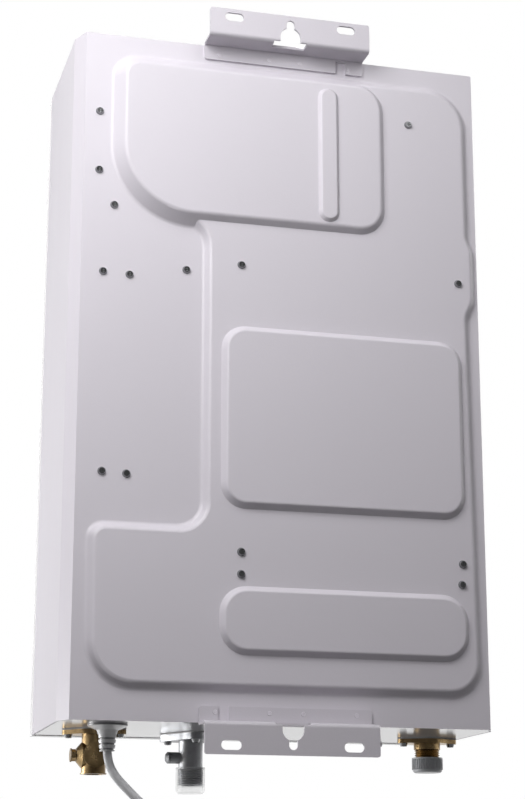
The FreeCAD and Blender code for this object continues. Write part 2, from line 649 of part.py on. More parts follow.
def rounded_wire(corners, inset, spot):
    """A closed wire of straight runs and corner arcs, moved inwards by an inset."""
    ends = [Vector(value(across), up, 0) for across, up, radius in corners]
    count = len(ends)
    area = sum(ends[i].x * ends[(i + 1) % count].y for i in range(count))
    area -= sum(ends[i].y * ends[(i + 1) % count].x for i in range(count))
    side = math.copysign(1, area)
    moved = []
    radii = []
    for i in range(count):
        before = (ends[i] - ends[i - 1]).normalize()
        after = (ends[(i + 1) % count] - ends[i]).normalize()
        inward_before = Vector(-before.y, before.x, 0) * side
        inward_after = Vector(-after.y, after.x, 0) * side
        middle = inward_before + inward_after
        moved.append(ends[i] + middle * (inset / middle.dot(inward_before)))
        outward_corner = (before.x * after.y - before.y * after.x) * side > 0
        radii.append(corners[i][2] + (-inset if outward_corner else inset))
    arcs = []
    for i in range(count):
        here = moved[i]
        to_before = (moved[i - 1] - here).normalize()
        to_after = (moved[(i + 1) % count] - here).normalize()
        half_angle = to_before.getAngle(to_after) / 2
        reach = radii[i] / math.tan(half_angle)
        crown = (to_before + to_after).normalize()
        depth = radii[i] / math.sin(half_angle) - radii[i]
        arcs.append((here + to_before * reach, here + crown * depth, here + to_after * reach))
    edges = []
    for i in range(count):
        start, crown, end = (spot(p.x, p.y) for p in arcs[i])
        onward = spot(arcs[(i + 1) % count][0].x, arcs[(i + 1) % count][0].y)
        edges.append(Part.Arc(start, crown, end).toShape())
        if start.distanceToPoint(onward) > 1e-6 and end.distanceToPoint(onward) > 1e-6:
            edges.append(Part.LineSegment(end, onward).toShape())
    return Part.Wire(edges)


def tube_along(spots, radius, bends):
    """A solid round bar along straight runs joined by tangent arcs."""
    edges = []
    last = spots[0]
    for index in range(1, len(spots) - 1):
        here = spots[index]
        to_before = (spots[index - 1] - here).normalize()
        to_after = (spots[index + 1] - here).normalize()
        half_angle = to_before.getAngle(to_after) / 2
        bend = bends[index - 1]
        reach = bend / math.tan(half_angle)
        start = here + to_before * reach
        end = here + to_after * reach
        crown = (to_before + to_after).normalize()
        middle = here + crown * (bend / math.sin(half_angle) - bend)
        if last.distanceToPoint(start) > 1e-6:
            edges.append(Part.LineSegment(last, start).toShape())
        edges.append(Part.Arc(start, middle, end).toShape())
        last = end
    edges.append(Part.LineSegment(last, spots[-1]).toShape())
    path = Part.Wire(edges)
    ring = Part.Wire([Part.Circle(spots[0], spots[1] - spots[0], radius).toShape()])
    shell = Part.BRepOffsetAPI.MakePipeShell(path)
    shell.add(ring)
    shell.build()
    shell.makeSolid()
    return shell.shape(), path.Length


def smooth_bends(spots):
    """The largest tangent arcs that the runs beside each point of a cord allow."""
    bends = []
    for index in range(1, len(spots) - 1):
        before = spots[index] - spots[index - 1]
        after = spots[index + 1] - spots[index]
        shorter = min(before.Length, after.Length)
        bends.append(0.45 * shorter / math.tan(before.getAngle(after) / 2))
    return bends


def biarc(start, start_way, end, end_way):
    """Two tangent arcs from one point and direction to another."""
    span = end - start
    both = start_way + end_way
    room = 2 * (1 - start_way.dot(end_way))
    reach = (-span.dot(both) + math.sqrt(span.dot(both) ** 2 + room * span.dot(span))) / room
    joint = (start + end + (start_way - end_way) * reach) * 0.5
    arcs = []
    for first, corner, last in (
        (start, start + start_way * reach, joint),
        (joint, end - end_way * reach, end),
    ):
        chord = last - first
        middle = (first + last) * 0.5
        rise = corner - middle
        lean = math.acos(min(1, chord.Length / 2 / (corner - first).Length))
        radius = chord.Length / 2 / math.sin(lean)
        crown = middle + rise.normalize() * (radius * (1 - math.cos(lean)))
        arcs.append(Part.Arc(first, crown, last).toShape())
    return arcs


def rear_shell():
    """The back and both sides of the case, pressed from one sheet and open at the front."""
    slope = value("emboss_slope")
    steel = value("steel")
    back = value("back")
    base = value("base")
    half = value("half_width")
    lead = steel * math.hypot(1, slope)

    def pressed(corners, foot, low, high, inset):
        """A solid with sloped sides between two heights over the flat back."""
        sections = []
        for height in (low, high):
            sections.append(
                rounded_wire(
                    corners,
                    slope * (height - foot) + inset,
                    lambda x, z: Vector(x, back + height, base + z),
                )
            )
        return Part.makeLoft(sections, True, True)

    def crown_rounded(solid, height, radius):
        level = back + height
        rim = [
            edge for edge in solid.Edges
            if abs(edge.BoundBox.YMin - level) < 1e-4 and abs(edge.BoundBox.YMax - level) < 1e-4
        ]
        return solid.makeFillet(radius, rim)

    def block(inset, ends):
        """The case's outline, drawn in by an inset, with its two bevels."""
        front = value("front + cover_rim + seam_gap")
        spots = [
            Vector(half - inset, front - ends, base - ends),
            Vector(half - inset, back - value("bevel_depth"), base - ends),
            Vector(half - value("bevel_width") - inset, back - inset, base - ends),
        ]
        spots += [Vector(-spot.x, spot.y, spot.z) for spot in reversed(spots)]
        face = Part.Face(Part.makePolygon(spots + [spots[0]]))
        return face.extrude(Vector(0, 0, value("case_height") + 2 * ends))

    areas = [
        (STEP_CORNERS, 0, "step_height", "step_round"),
        (PANEL_CORNERS, 0, "panel_height", "step_round"),
        (FIELD_CORNERS, value("step_height"), "field_height", "field_round"),
        (FOOT_FIELD_CORNERS, value("step_height"), "foot_field_height", "field_round"),
        (RIB_CORNERS, value("panel_height"), "rib_height", "rib_round"),
    ]
    outside = block(0, 0)
    inside = block(steel, 1)
    raised = []
    hollows = []
    for corners, foot, height, rounding in areas:
        high = value(height)
        solid = pressed(corners, foot, foot - steel, high, 0)
        raised.append(crown_rounded(solid, high, value(rounding)))
        hollows.append(pressed(corners, foot, foot - 2 * steel, high - steel, lead))
    skin = outside.fuse(raised).removeSplitter()
    skin = foot_rounded(skin, back, value("step_round"), half)
    shell = skin.cut(inside.fuse(hollows).removeSplitter())
    levels = {"flat": back, "step": back + value("step_height")}
    holes = [
        Part.makeCylinder(
            value("tapper_radius + screw_gap"), 4 * steel,
            Vector(value(across), levels[level] + steel, base + high), Vector(0, -1, 0),
        )
        for across, high, level in BACK_SCREWS
    ]
    return shell.cut(holes)


def foot_rounded(skin, level, radius, half):
    """Round the foot of everything that rises from one flat level."""
    low = skin.BoundBox.ZMin
    high = skin.BoundBox.ZMax
    flat_half = half - value("bevel_width")

    def inner(box):
        middle = box.Center
        return (
            abs(abs(middle.x) - flat_half) > 1e-3
            and abs(middle.z - low) > 1e-3
            and abs(middle.z - high) > 1e-3
        )

    feet = [
        edge for edge in skin.Edges
        if abs(edge.BoundBox.YMin - level) < 1e-4
        and abs(edge.BoundBox.YMax - level) < 1e-4
        and inner(edge.BoundBox)
    ]
    return skin.makeFillet(radius, feet)


def screw(name, x, y, z, outward, radius, length, head, head_height):
    """A pan-head screw with a cross recess, its head's underside at a point."""
    inward = outward[1:] if outward.startswith("-") else "-" + outward
    dome = cone(name + "_head", head, f"{head} * 0.72", head_height, x, y, z, outward)
    shank = rod(name + "_shank", radius, length, x, y, z, inward)
    way = "-" if outward.startswith("-") else "+"
    arms = []
    for number in (0, 1):
        wide = ["recess_width / 2", f"{head} * 0.55"]
        if number:
            wide.reverse()
        ranges = []
        for letter, formula in zip("xyz", (x, y, z)):
            if letter == outward[-1]:
                ends = (
                    f"({formula}) {way} ({head_height} - recess_depth)",
                    f"({formula}) {way} ({head_height} + recess_depth)",
                )
                ranges.append(tuple(sorted(ends, key=value)))
            else:
                half = wide.pop(0)
                ranges.append((f"({formula}) - {half}", f"({formula}) + {half}"))
        arms.append(box(f"{name}_recess{number}", *ranges))
    return cut(name, fuse(name + "_solid", dome, shank), *arms)


def sheet_metal():
    """The pressed case: shell, top, bottom and the front cover."""
    sub_part(made("rear_shell", rear_shell()), "rear_shell")
    inner = "steel + seam_gap"
    edge = "front + cover_rim + seam_gap"
    corners = [
        (f"half_width - ({inner})", edge),
        (f"half_width - ({inner})", "back - bevel_depth"),
        (f"half_width - bevel_width - ({inner})", f"back - ({inner})"),
        (f"-half_width + bevel_width + ({inner})", f"back - ({inner})"),
        (f"-half_width + ({inner})", "back - bevel_depth"),
        (f"-half_width + ({inner})", edge),
    ]
    lip_corners = [
        ("-half_width + steel + bevel_width", edge), ("half_width - steel - bevel_width", edge),
        ("half_width - steel - bevel_width", f"{edge} + steel"),
        ("-half_width + steel + bevel_width", f"{edge} + steel"),
    ]
    for label, level in (("top_panel", "top - steel"), ("bottom_panel", "base")):
        body = new_body(label)
        sketch = polygon_sketch(body, label + "_outline", "XY_Plane", corners, level)
        pad(body, sketch, "steel")
        below = label == "top_panel"
        lip_level = level if below else f"{level} + steel"
        lip = polygon_sketch(body, label + "_lip", "XY_Plane", lip_corners, lip_level)
        pad(body, lip, "bevel_width", backwards=below)
        if below:
            holes = [("-flue_across", "fan_mid", "flue_radius - flue_wall")]
            holes += [(x, y, "tapper_radius + screw_gap") for x, y in collar_screw_sites()]
        else:
            holes = [
                ("cold_across", "cold_y", "sensor_bore"),
                ("gas_across", "gas_y", "gas_body + fitting_gap"),
                ("-hot_across", "hot_y", "cold_body + fitting_gap"),
                ("cord_across", "cord_y", "gland_stub + fitting_gap"),
            ]
            holes += [(x, y, "machine_radius + screw_gap") for x, y in flange_screw_sites()]
            for number, (x, y) in enumerate(cover_screw_sites()):
                tab = [
                    (f"{x} - control_tab / 2", "front + screw_tab_start"),
                    (f"{x} + control_tab / 2", "front + screw_tab_start"),
                    (f"{x} + control_tab / 2", f"{edge} + steel"),
                    (f"{x} - control_tab / 2", f"{edge} + steel"),
                ]
                rise = f"{level} - lip_drop + steel + seam_gap"
                sketch = polygon_sketch(body, f"cover_tab{number}", "XY_Plane", tab, rise)
                pad(body, sketch, "steel")
                holes.append((x, y, "tapper_radius + screw_gap"))
        for number, (x, y, radius) in enumerate(holes):
            hole = circle_sketch(body, f"{label}_hole{number}", "XY_Plane", x, y, radius, level)
            pocket(body, hole, "4 * steel", both_ways=True)
        sub_part(body, label)
    front_cover()


def cover_block(name, inset, rounding, rear):
    """The cover's outline drawn in by an inset, with the rim of its face rounded."""
    body = new_body(name)
    corners = [
        (f"-half_width + {inset}", f"base - lip_drop + {inset}"),
        (f"half_width - {inset}", f"base - lip_drop + {inset}"),
        (f"half_width - {inset}", f"top - {inset}"), (f"-half_width + {inset}", f"top - {inset}"),
    ]
    face = polygon_sketch(body, name + "_outline", "XZ_Plane", corners, f"-({rear})")
    pad(body, face, f"({rear}) - (front + {inset})")
    doc.recompute()
    front = value(f"front + {inset}")
    rim = edges_where(
        body.Tip.Shape, lambda b: abs(b.YMin - front) < 1e-4 and abs(b.YMax - front) < 1e-4
    )
    dressed(body, "Fillet", rim, rounding)
    return body


def front_cover():
    """The shallow front cover with its window, button holes and air slots."""
    outside = cover_block("cover_outside", "0", "cover_round", "front + cover_rim")
    inside = cover_block(
        "cover_inside", "steel", "cover_round - steel", "front + cover_rim + steel"
    )
    level = "base + panel_level"
    deep = ("front - steel", "front + 2 * steel")
    tools = [
        inside,
        box(
            "cover_window", ("-window_width / 2 - seam_gap", "window_width / 2 + seam_gap"), deep,
            (f"{level} - window_height / 2 - seam_gap", f"{level} + window_height / 2 + seam_gap"),
        ),
    ]
    for number in (-1, 0, 1):
        tools.append(
            rod(
                f"cover_button{number + 1}", "button_radius + seam_gap", "3 * steel",
                f"{number} * button_pitch", "front - steel", f"{level} - button_drop", "y",
            )
        )
    columns = 5
    for row in range(int(value("louvre_rows"))):
        for column in range(columns):
            middle = f"({column - columns // 2}) * louvre_step"
            low = f"base + louvre_low + {row} * louvre_pitch"
            tools.append(
                box(
                    f"louvre{row}_{column}",
                    (f"{middle} - louvre_width / 2", f"{middle} + louvre_width / 2"), deep,
                    (low, f"{low} + louvre_height"),
                )
            )
    for number, (x, y) in enumerate(cover_screw_sites()):
        tools.append(
            rod(
                f"cover_screw_hole{number}", "tapper_radius + screw_gap", "3 * steel", x, y,
                "base - lip_drop - steel",
            )
        )
    sub_part(cut("front_cover", outside, *tools), "front_cover")
    window_low = f"{level} - window_height / 2"
    window_high = f"{level} + window_height / 2"
    pane = box(
        "pane", ("-window_width / 2", "window_width / 2"),
        ("front", "front + window_thick"), (window_low, window_high),
    )
    ledge = box(
        "pane_ledge",
        ("-window_width / 2 - window_thick", "window_width / 2 + window_thick"),
        ("front_inside + seam_gap", "front_inside + seam_gap + window_thick"),
        (f"{window_low} - window_thick", f"{window_high} + window_thick"),
    )
    sub_part(fuse("display_window", pane, ledge), "display_window")
    rear = "front_inside + display_board_gap"
    board_low = f"{level} - button_drop - button_flange"
    board_high = f"{window_high} + window_thick"
    board = box(
        "display_plate", ("-display_board_half", "display_board_half"),
        (rear, f"{rear} + board_thick"), (board_low, board_high),
    )
    posts = [
        rod(
            f"display_post{number}", "board_thick", "display_board_gap", x, "front_inside", z, "y"
        )
        for number, (x, z) in enumerate(
            (f"{side}(display_board_half - 2 * board_thick)", z) for side in ("", "-")
            for z in (f"{board_low} + 2 * board_thick", f"{board_high} - 2 * board_thick")
        )
    ]
    switches = [
        rod(
            f"display_switch{number}", "button_radius / 2", "switch_rise", f"{number} * button_pitch",
            rear, f"{level} - button_drop", "-y",
        )
        for number in (-1, 0, 1)
    ]
    sub_part(fuse("display_board", board, *posts, *switches), "display_board")
    for label, number in (("down_button", -1), ("power_button", 0), ("up_button", 1)):
        x = f"{number} * button_pitch"
        z = f"{level} - button_drop"
        cap = rod(
            label + "_cap", "button_radius", "button_rise + steel + face_gap", x,
            "front - button_rise", z, "y",
        )
        flange = rod(
            label + "_flange", "button_flange", "button_flange_thick", x,
            "front_inside + face_gap", z, "y",
        )
        sub_part(fuse(label, cap, flange), label)


def wall_bracket(label, way):
    """A bent bracket with two slots and a keyhole, above the case or below it."""
    edge = "top" if way > 0 else "base"
    body = new_body(label + "_blank")
    profile = [
        ("back", f"{edge} - ({way}) * tab_height"),
        ("back + bracket_steel", f"{edge} - ({way}) * tab_height"),
        ("back + bracket_steel", edge),
        ("0", edge),
        ("0", f"{edge} + ({way}) * flange_height"),
        ("-bracket_steel", f"{edge} + ({way}) * flange_height"),
        ("-bracket_steel", f"{edge} + ({way}) * bracket_steel"),
        ("back", f"{edge} + ({way}) * bracket_steel"),
    ]
    sketch = polygon_sketch(body, label + "_profile", "YZ_Plane", profile)
    pad(body, sketch, "bracket_width", both_ways=True)
    doc.recompute()
    level = value(edge)
    bends = edges_where(
        body.Tip.Shape,
        lambda b: b.XLength > 1
        and ((abs(b.YMax) < 1e-4 and abs(b.ZMin - level) < 1e-4)
             or (abs(b.YMin - value("back")) < 1e-4
                 and abs(b.ZMin - value(f"{edge} + ({way}) * bracket_steel")) < 1e-4)),
    )
    dressed(body, "Fillet", bends, "bend_round")
    doc.recompute()
    ends = [
        value(f"{edge} + ({way}) * flange_height"), value(f"{edge} - ({way}) * tab_height"),
    ]
    corners = edges_where(
        body.Tip.Shape,
        lambda b: b.YLength > 1 and b.XLength < 1e-4
        and any(abs(b.ZMin - end) < 1e-4 and abs(b.ZMax - end) < 1e-4 for end in ends),
    )
    dressed(body, "Fillet", corners, "corner_round")
    tools = []
    high = f"{edge} + ({way}) * (flange_height - slot_edge)"
    through = ("-bracket_steel - steel", "steel")
    for number, side in enumerate(("-", "")):
        middle = f"{side}slot_spacing / 2"
        half = "(slot_length - slot_width) / 2"
        tools.append(
            box(
                f"{label}_slot{number}", (f"{middle} - {half}", f"{middle} + {half}"), through,
                (f"{high} - slot_width / 2", f"{high} + slot_width / 2"),
            )
        )
        for end in ("-", "+"):
            tools.append(
                rod(
                    f"{label}_slot{number}{'a' if end == '-' else 'b'}", "slot_width / 2",
                    "bracket_steel + 2 * steel", f"{middle} {end} {half}",
                    "-bracket_steel - steel", high, "y",
                )
            )
    tools += keyhole_tools(label, edge, way, through)
    deep = (f"{edge} - ({way}) * (tab_height + steel)", f"{edge} - ({way}) * bracket_steel")
    wide = (
        f"({-way}) * (bracket_width / 2 - tab_end)",
        f"({-way}) * (bracket_width / 2 - tab_end - tab_notch)",
    )
    tools.append(
        box(
            label + "_notch", tuple(sorted(wide, key=value)),
            ("back - steel", "back + bracket_steel + steel"), tuple(sorted(deep, key=value)),
        )
    )
    sub_part(cut(label, body, *tools), label)


def keyhole_tools(label, edge, way, through):
    """The keyhole: a bell-shaped mouth beside the web, its neck and a notch in the web."""
    tools = []
    for name, width, level in (
        ("mouth", "keyhole_head", "keyhole_head_level"),
        ("neck", "keyhole_neck", "(keyhole_neck_top - keyhole_neck / 2)"),
    ):
        middle = f"{edge} + ({way}) * {level}"
        tools.append(
            box(
                f"{label}_{name}", (f"-{width} / 2", f"{width} / 2"), through,
                tuple(sorted((edge, middle), key=value)),
            )
        )
        tools.append(
            rod(
                f"{label}_{name}_end", f"{width} / 2", "bracket_steel + 2 * steel", "0",
                "-bracket_steel - steel", middle, "y",
            )
        )
    web = tuple(sorted((edge, f"{edge} + ({way}) * bracket_steel"), key=value))
    tools.append(
        box(
            label + "_web_notch", ("-web_notch / 2", "web_notch / 2"),
            ("-web_notch_depth", "steel"), web,
        )
    )
    return tools


def back_screws():
    """The fifteen screws that hold the inner assemblies to the back."""
    levels = {"flat": "back", "step": "back + step_height"}
    screws = []
    for number, (across, high, level) in enumerate(BACK_SCREWS):
        screws.append(
            screw(
                f"back_screw{number}", f"{across}", levels[level], f"base + {high}", "y",
                "tapper_radius", "tapper_length", "tapper_head", "tapper_head_height",
            )
        )
    sub_part(group("back_screws", screws), "back_screws")


def flange_screw_sites():
    """Where the screws of the three flanges stand."""
    sites = []
    for side in ("", "-"):
        sites.append(
            (f"cold_across + ({side}1) * flange_pitch / 2 * cos(cold_turn)",
             f"cold_y - ({side}1) * flange_pitch / 2 * sin(cold_turn)")
        )
        sites.append((f"-hot_across + ({side}1) * flange_pitch / 2", "hot_y"))
    for number in range(3):
        angle = f"(gas_screw_turn + {number} * 120)"
        sites.append(
            (f"gas_across + gas_screw_circle * cos({angle})",
             f"gas_y + gas_screw_circle * sin({angle})")
        )
    return sites


def turned(name, profile, x, y, z, axis="z"):
    """A round piece: radius and height formulas of its half section, spun about its own axis."""
    body = new_body(name + "_turned")
    revolve(body, polygon_sketch(body, name + "_section", "XZ_Plane", profile))
    return place(body, x, y, z, TURNS[axis])


def threaded(low, count, outer):
    """The zigzag of a thread's half section, from its lower end upwards."""
    spots = []
    for number in range(count):
        foot = f"{low} + {number} * thread_pitch"
        spots.append((f"{outer} - thread_depth", foot))
        spots.append((outer, f"{foot} + thread_pitch / 2"))
    spots.append((f"{outer} - thread_depth", f"{low} + {count} * thread_pitch"))
    return spots


def flange_plate(name, outline, holes, thick, x, y, turn, hanging=True):
    """A flange or gasket below the case: rounded corners, screw holes and a middle hole."""
    body = new_body(name + "_plate")
    corners = [(across, deep) for across, deep, radius in outline]
    pad(body, polygon_sketch(body, name + "_outline", "XY_Plane", corners), thick,
        backwards=hanging)
    for radius in sorted({radius for across, deep, radius in outline}):
        doc.recompute()
        spots = [
            (value(across), value(deep)) for across, deep, size in outline if size == radius
        ]
        upright = edges_where(
            body.Tip.Shape,
            lambda b: b.ZLength > 1e-3 and any(
                abs(b.Center.x - spot[0]) < 1e-3 and abs(b.Center.y - spot[1]) < 1e-3
                and b.XLength < 1e-3 for spot in spots
            ),
        )
        dressed(body, "Fillet", upright, radius)
    for number, (across, deep, radius) in enumerate(holes):
        hole = circle_sketch(body, f"{name}_hole{number}", "XY_Plane", across, deep, radius)
        pocket(body, hole, f"3 * ({thick})", both_ways=True)
    return place(body, x, y, "joint_under", Rotation(Vector(0, 0, 1), value(turn)))


def water_outline():
    """Outline of a two-screw flange: a rhombus with rounded tips and sides."""
    lean = "((flange_waist - flange_lobe) / (flange_pitch / 2))"
    tip = f"flange_waist / {lean}"
    side = f"flange_waist / sqrt(1 - {lean} * {lean})"
    return [
        (tip, "0", "flange_lobe"), ("0", side, "flange_waist"),
        (f"-({tip})", "0", "flange_lobe"), ("0", f"-({side})", "flange_waist"),
    ]


def gas_outline():
    """Outline of the three-screw gas flange."""
    tip = "(gas_screw_circle + 2 * gas_lobe)"
    return [
        (f"{tip} * cos({number} * 120)", f"{tip} * sin({number} * 120)", "gas_lobe")
        for number in range(3)
    ]


def fittings():
    """The water and gas connections under the case, their gaskets, caps and plugs."""
    screw_hole = "machine_radius + screw_gap"
    water_holes = [("flange_pitch / 2", "0", screw_hole), ("-flange_pitch / 2", "0", screw_hole)]
    gas_holes = [
        (f"gas_screw_circle * cos({number} * 120)", f"gas_screw_circle * sin({number} * 120)",
         screw_hole)
        for number in range(3)
    ]
    kinds = {
        "cold": (water_outline(), water_holes, "cold_across", "cold_y", "-cold_turn",
                 "sensor_bore - fitting_gap", "water_flange"),
        "gas": (gas_outline(), gas_holes, "gas_across", "gas_y", "gas_screw_turn", "gas_body",
                "gas_flange"),
        "hot": (water_outline(), water_holes, "-hot_across", "hot_y", "0", "cold_body",
                "water_flange"),
    }
    plates = {}
    gaskets = []
    for kind, (outline, holes, x, y, turn, spigot, thick) in kinds.items():
        plates[kind] = flange_plate(kind + "_flange", outline, holes, thick, x, y, turn)
        seal = [("0", "0", f"{spigot} + fitting_gap")]
        gaskets.append(
            flange_plate(kind + "_gasket", outline, holes + seal, "gasket_thick", x, y, turn, False)
        )
    sub_part(group("gaskets", gaskets), "gaskets")
    cold_inlet(plates["cold"])
    gas_inlet(plates["gas"])
    hot_outlet(plates["hot"])


def cold_inlet(plate):
    rise = "gasket_thick + spigot_height"
    foot = "gasket_thick - cold_length"
    barrel = turned(
        "cold_barrel",
        [
            ("0", foot), ("cold_lip", foot), ("cold_lip", f"{foot} + cold_lip_height"),
            ("cold_body", f"{foot} + cold_lip_height"), ("cold_body", "0"),
            ("sensor_bore - fitting_gap", "0"), ("sensor_bore - fitting_gap", rise), ("0", rise),
        ],
        "cold_across", "cold_y", "joint_under",
    )
    level = "base - branch_drop"
    boss = rod("cold_boss", "branch_radius", "branch_reach", "cold_across", "cold_y", level, "y")
    arm = rod("cold_arm", "cone_foot", "cone_start", "cold_across", "cold_y", level, "x")
    taper = cone(
        "cold_taper", "cone_foot", "cone_end", "cone_reach - cone_start",
        "cold_across + cone_start", "cold_y", level, "x",
    )
    waterway = rod(
        "cold_waterway", "bore_radius", "cold_length + spigot_height + 2 * steel", "cold_across",
        "cold_y", "base - cold_length - steel",
    )
    socket = rod(
        "cold_socket", "socket_radius", "socket_depth + steel", "cold_across", "cold_y",
        f"joint_under + {foot} - steel",
    )
    seat = rod(
        "cold_seat", "drain_stem + turn_gap", "cone_reach + steel", "cold_across", "cold_y",
        level, "x",
    )
    body = fuse("cold_casting", barrel, plate, boss, arm, taper)
    sub_part(cut("cold_inlet_body", body, waterway, socket, seat), "cold_inlet_body")
    face = "cold_across + cone_reach + face_gap"
    hexagon = doc.addObject("Part::Prism", "drain_hexagon")
    hexagon.Polygon = 6
    hexagon.setExpression("Circumradius", full("drain_head"))
    hexagon.setExpression("Height", full("drain_head_height"))
    place(hexagon, face, "cold_y", level, TURNS["x"])
    rim = rod(
        "drain_rim", "drain_rim", "drain_rim_height", f"{face} + drain_head_height", "cold_y",
        level, "x",
    )
    stem = rod("drain_stem", "drain_stem", "drain_stem_length", face, "cold_y", level, "-x")
    end = f"{face} + drain_head_height + drain_rim_height"
    slot = box(
        "drain_slot", (f"{end} - drain_rim_height", f"{end} + steel"),
        ("cold_y - recess_width", "cold_y + recess_width"),
        (f"{level} - drain_rim", f"{level} + drain_rim"),
    )
    sub_part(cut("drain_plug", fuse("drain_turned", hexagon, rim, stem), slot), "drain_plug")


def gas_inlet(plate):
    rise = "gasket_thick + spigot_height"
    neck = "gasket_thick - gas_body_length"
    rings = int(value("gas_thread_length / thread_pitch"))
    foot = f"{neck} - {rings} * thread_pitch"
    profile = [("0", foot)] + threaded(foot, rings, "thread_radius")
    profile += [("gas_body", neck), ("gas_body", rise), ("0", rise)]
    barrel = turned("gas_barrel", profile, "gas_across", "gas_y", "joint_under")
    level = "base - test_drop"
    face = "gas_across + test_reach"
    nub = rod("gas_nub", "test_radius", "test_reach", "gas_across", "gas_y", level, "x")
    passage = rod(
        "gas_passage", "bore_radius", f"{rise} - ({foot}) + 2 * steel", "gas_across", "gas_y",
        f"joint_under + {foot} - steel",
    )
    seat = rod(
        "gas_test_seat", "test_screw + turn_gap", "test_reach + steel", "gas_across", "gas_y",
        level, "x",
    )
    body = fuse("gas_casting", barrel, plate, nub)
    sub_part(cut("gas_inlet_body", body, passage, seat), "gas_inlet_body")
    outside = f"{face} + face_gap"
    stem = rod("test_stem", "test_screw", "test_screw_length", outside, "gas_y", level, "-x")
    head = rod("test_head", "test_radius", "test_head / 2", outside, "gas_y", level, "x")
    dome = cone(
        "test_dome", "test_radius", "test_radius * 0.6", "test_head / 2",
        f"{outside} + test_head / 2", "gas_y", level, "x",
    )
    slot = box(
        "test_slot", (f"{outside} + test_head - recess_depth", f"{outside} + test_head + steel"),
        ("gas_y - recess_width / 2", "gas_y + recess_width / 2"),
        (f"{level} - test_radius", f"{level} + test_radius"),
    )
    sub_part(cut("gas_test_screw", fuse("test_turned", stem, head, dome), slot), "gas_test_screw")
    mouth = "base - gas_cap_drop"
    cap(
        "gas_cap", "gas_across", "gas_y", mouth, "gas_cap_height", "gas_cap_floor", "cap_wall",
        "gas_cap_ribs", "gas_cap_rib",
    )


def cap(label, x, y, mouth, height, floor, wall, ribs, rise):
    """A push-on cap with upright ribs round it, open at the top."""
    body = new_body(label)
    inner = "thread_radius + cap_gap"
    outer = f"{inner} + {wall}"
    profile = [
        ("0", f"-({height})"), (f"{outer} - cap_ring", f"-({height})"),
        (outer, f"-({height}) + cap_ring"), (outer, "-cap_ring"),
        (f"{outer} + {rise}", "-cap_ring"), (f"{outer} + {rise}", "0"), (inner, "0"),
        (inner, f"-({height}) + {floor}"), ("0", f"-({height}) + {floor}"),
    ]
    revolve(body, polygon_sketch(body, label + "_section", "XZ_Plane", profile))
    half = f"{rise} * 0.9"
    rib = [
        (f"{outer} - {wall} / 2", f"-({half})"), (f"{outer} + {rise}", f"-({half}) / 2"),
        (f"{outer} + {rise}", f"({half}) / 2"), (f"{outer} - {wall} / 2", half),
    ]
    sketch = polygon_sketch(body, label + "_rib", "XY_Plane", rib, f"-({height}) + 2 * cap_ring")
    around(body, pad(body, sketch, f"{height} - 3 * cap_ring + cap_ring / 2"), ribs)
    sub_part(place(body, x, y, mouth), label)


def hot_outlet(plate):
    rise = "gasket_thick + spigot_height"
    neck = "-water_flange - hot_neck_length"
    rings = int(value("hot_thread_length / thread_pitch"))
    foot = f"{neck} - {rings} * thread_pitch"
    profile = [("0", foot)] + threaded(foot, rings, "thread_radius")
    profile += [
        ("hot_neck", neck), ("hot_neck", "0"), ("cold_body", "0"), ("cold_body", rise),
        ("0", rise),
    ]
    barrel = turned("hot_barrel", profile, "-hot_across", "hot_y", "joint_under")
    passage = rod(
        "hot_passage", "bore_radius", f"{rise} - ({foot}) + 2 * steel", "-hot_across", "hot_y",
        f"joint_under + {foot} - steel",
    )
    sub_part(cut("hot_outlet_body", fuse("hot_casting", barrel, plate), passage), "hot_outlet_body")
    cap(
        "hot_cap", "-hot_across", "hot_y", "base - hot_cap_drop", "hot_cap_height",
        "hot_cap_floor", "hot_cap_wall", "hot_cap_flutes", "hot_cap_flute",
    )


def case_screws():
    """Screws of the flanges, the flue collar and the front cover."""
    screws = []
    for number, (x, y) in enumerate(flange_screw_sites()):
        thick = "gas_flange" if number > 3 else "water_flange"
        screws.append(
            screw(
                f"flange_screw{number}", x, y, f"joint_under - {thick}", "-z", "machine_radius",
                "machine_length", "machine_head", "machine_head_height",
            )
        )
    for number, (x, y) in enumerate(cover_screw_sites()):
        screws.append(
            screw(
                f"cover_screw{number}", x, y, "base - lip_drop", "-z", "tapper_radius",
                "tapper_length", "tapper_head", "tapper_head_height",
            )
        )
    for number, (x, y) in enumerate(collar_screw_sites()):
        screws.append(
            screw(
                f"collar_screw{number}", x, y, "top + flue_plate_thick", "z", "tapper_radius",
                "tapper_length", "tapper_head", "tapper_head_height",
            )
        )
    sub_part(group("panel_screws", screws), "panel_screws")


def cover_screw_sites():
    return [(f"{side}cover_screw_across", "front + cover_rim / 2") for side in ("", "-")]


def collar_screw_sites():
    reach = "(flue_plate / 2 - machine_head)"
    return [
        (f"-flue_across + ({side}) * {reach}", f"fan_mid + ({end}) * {reach}")
        for side in (1, -1) for end in (1, -1)
    ]


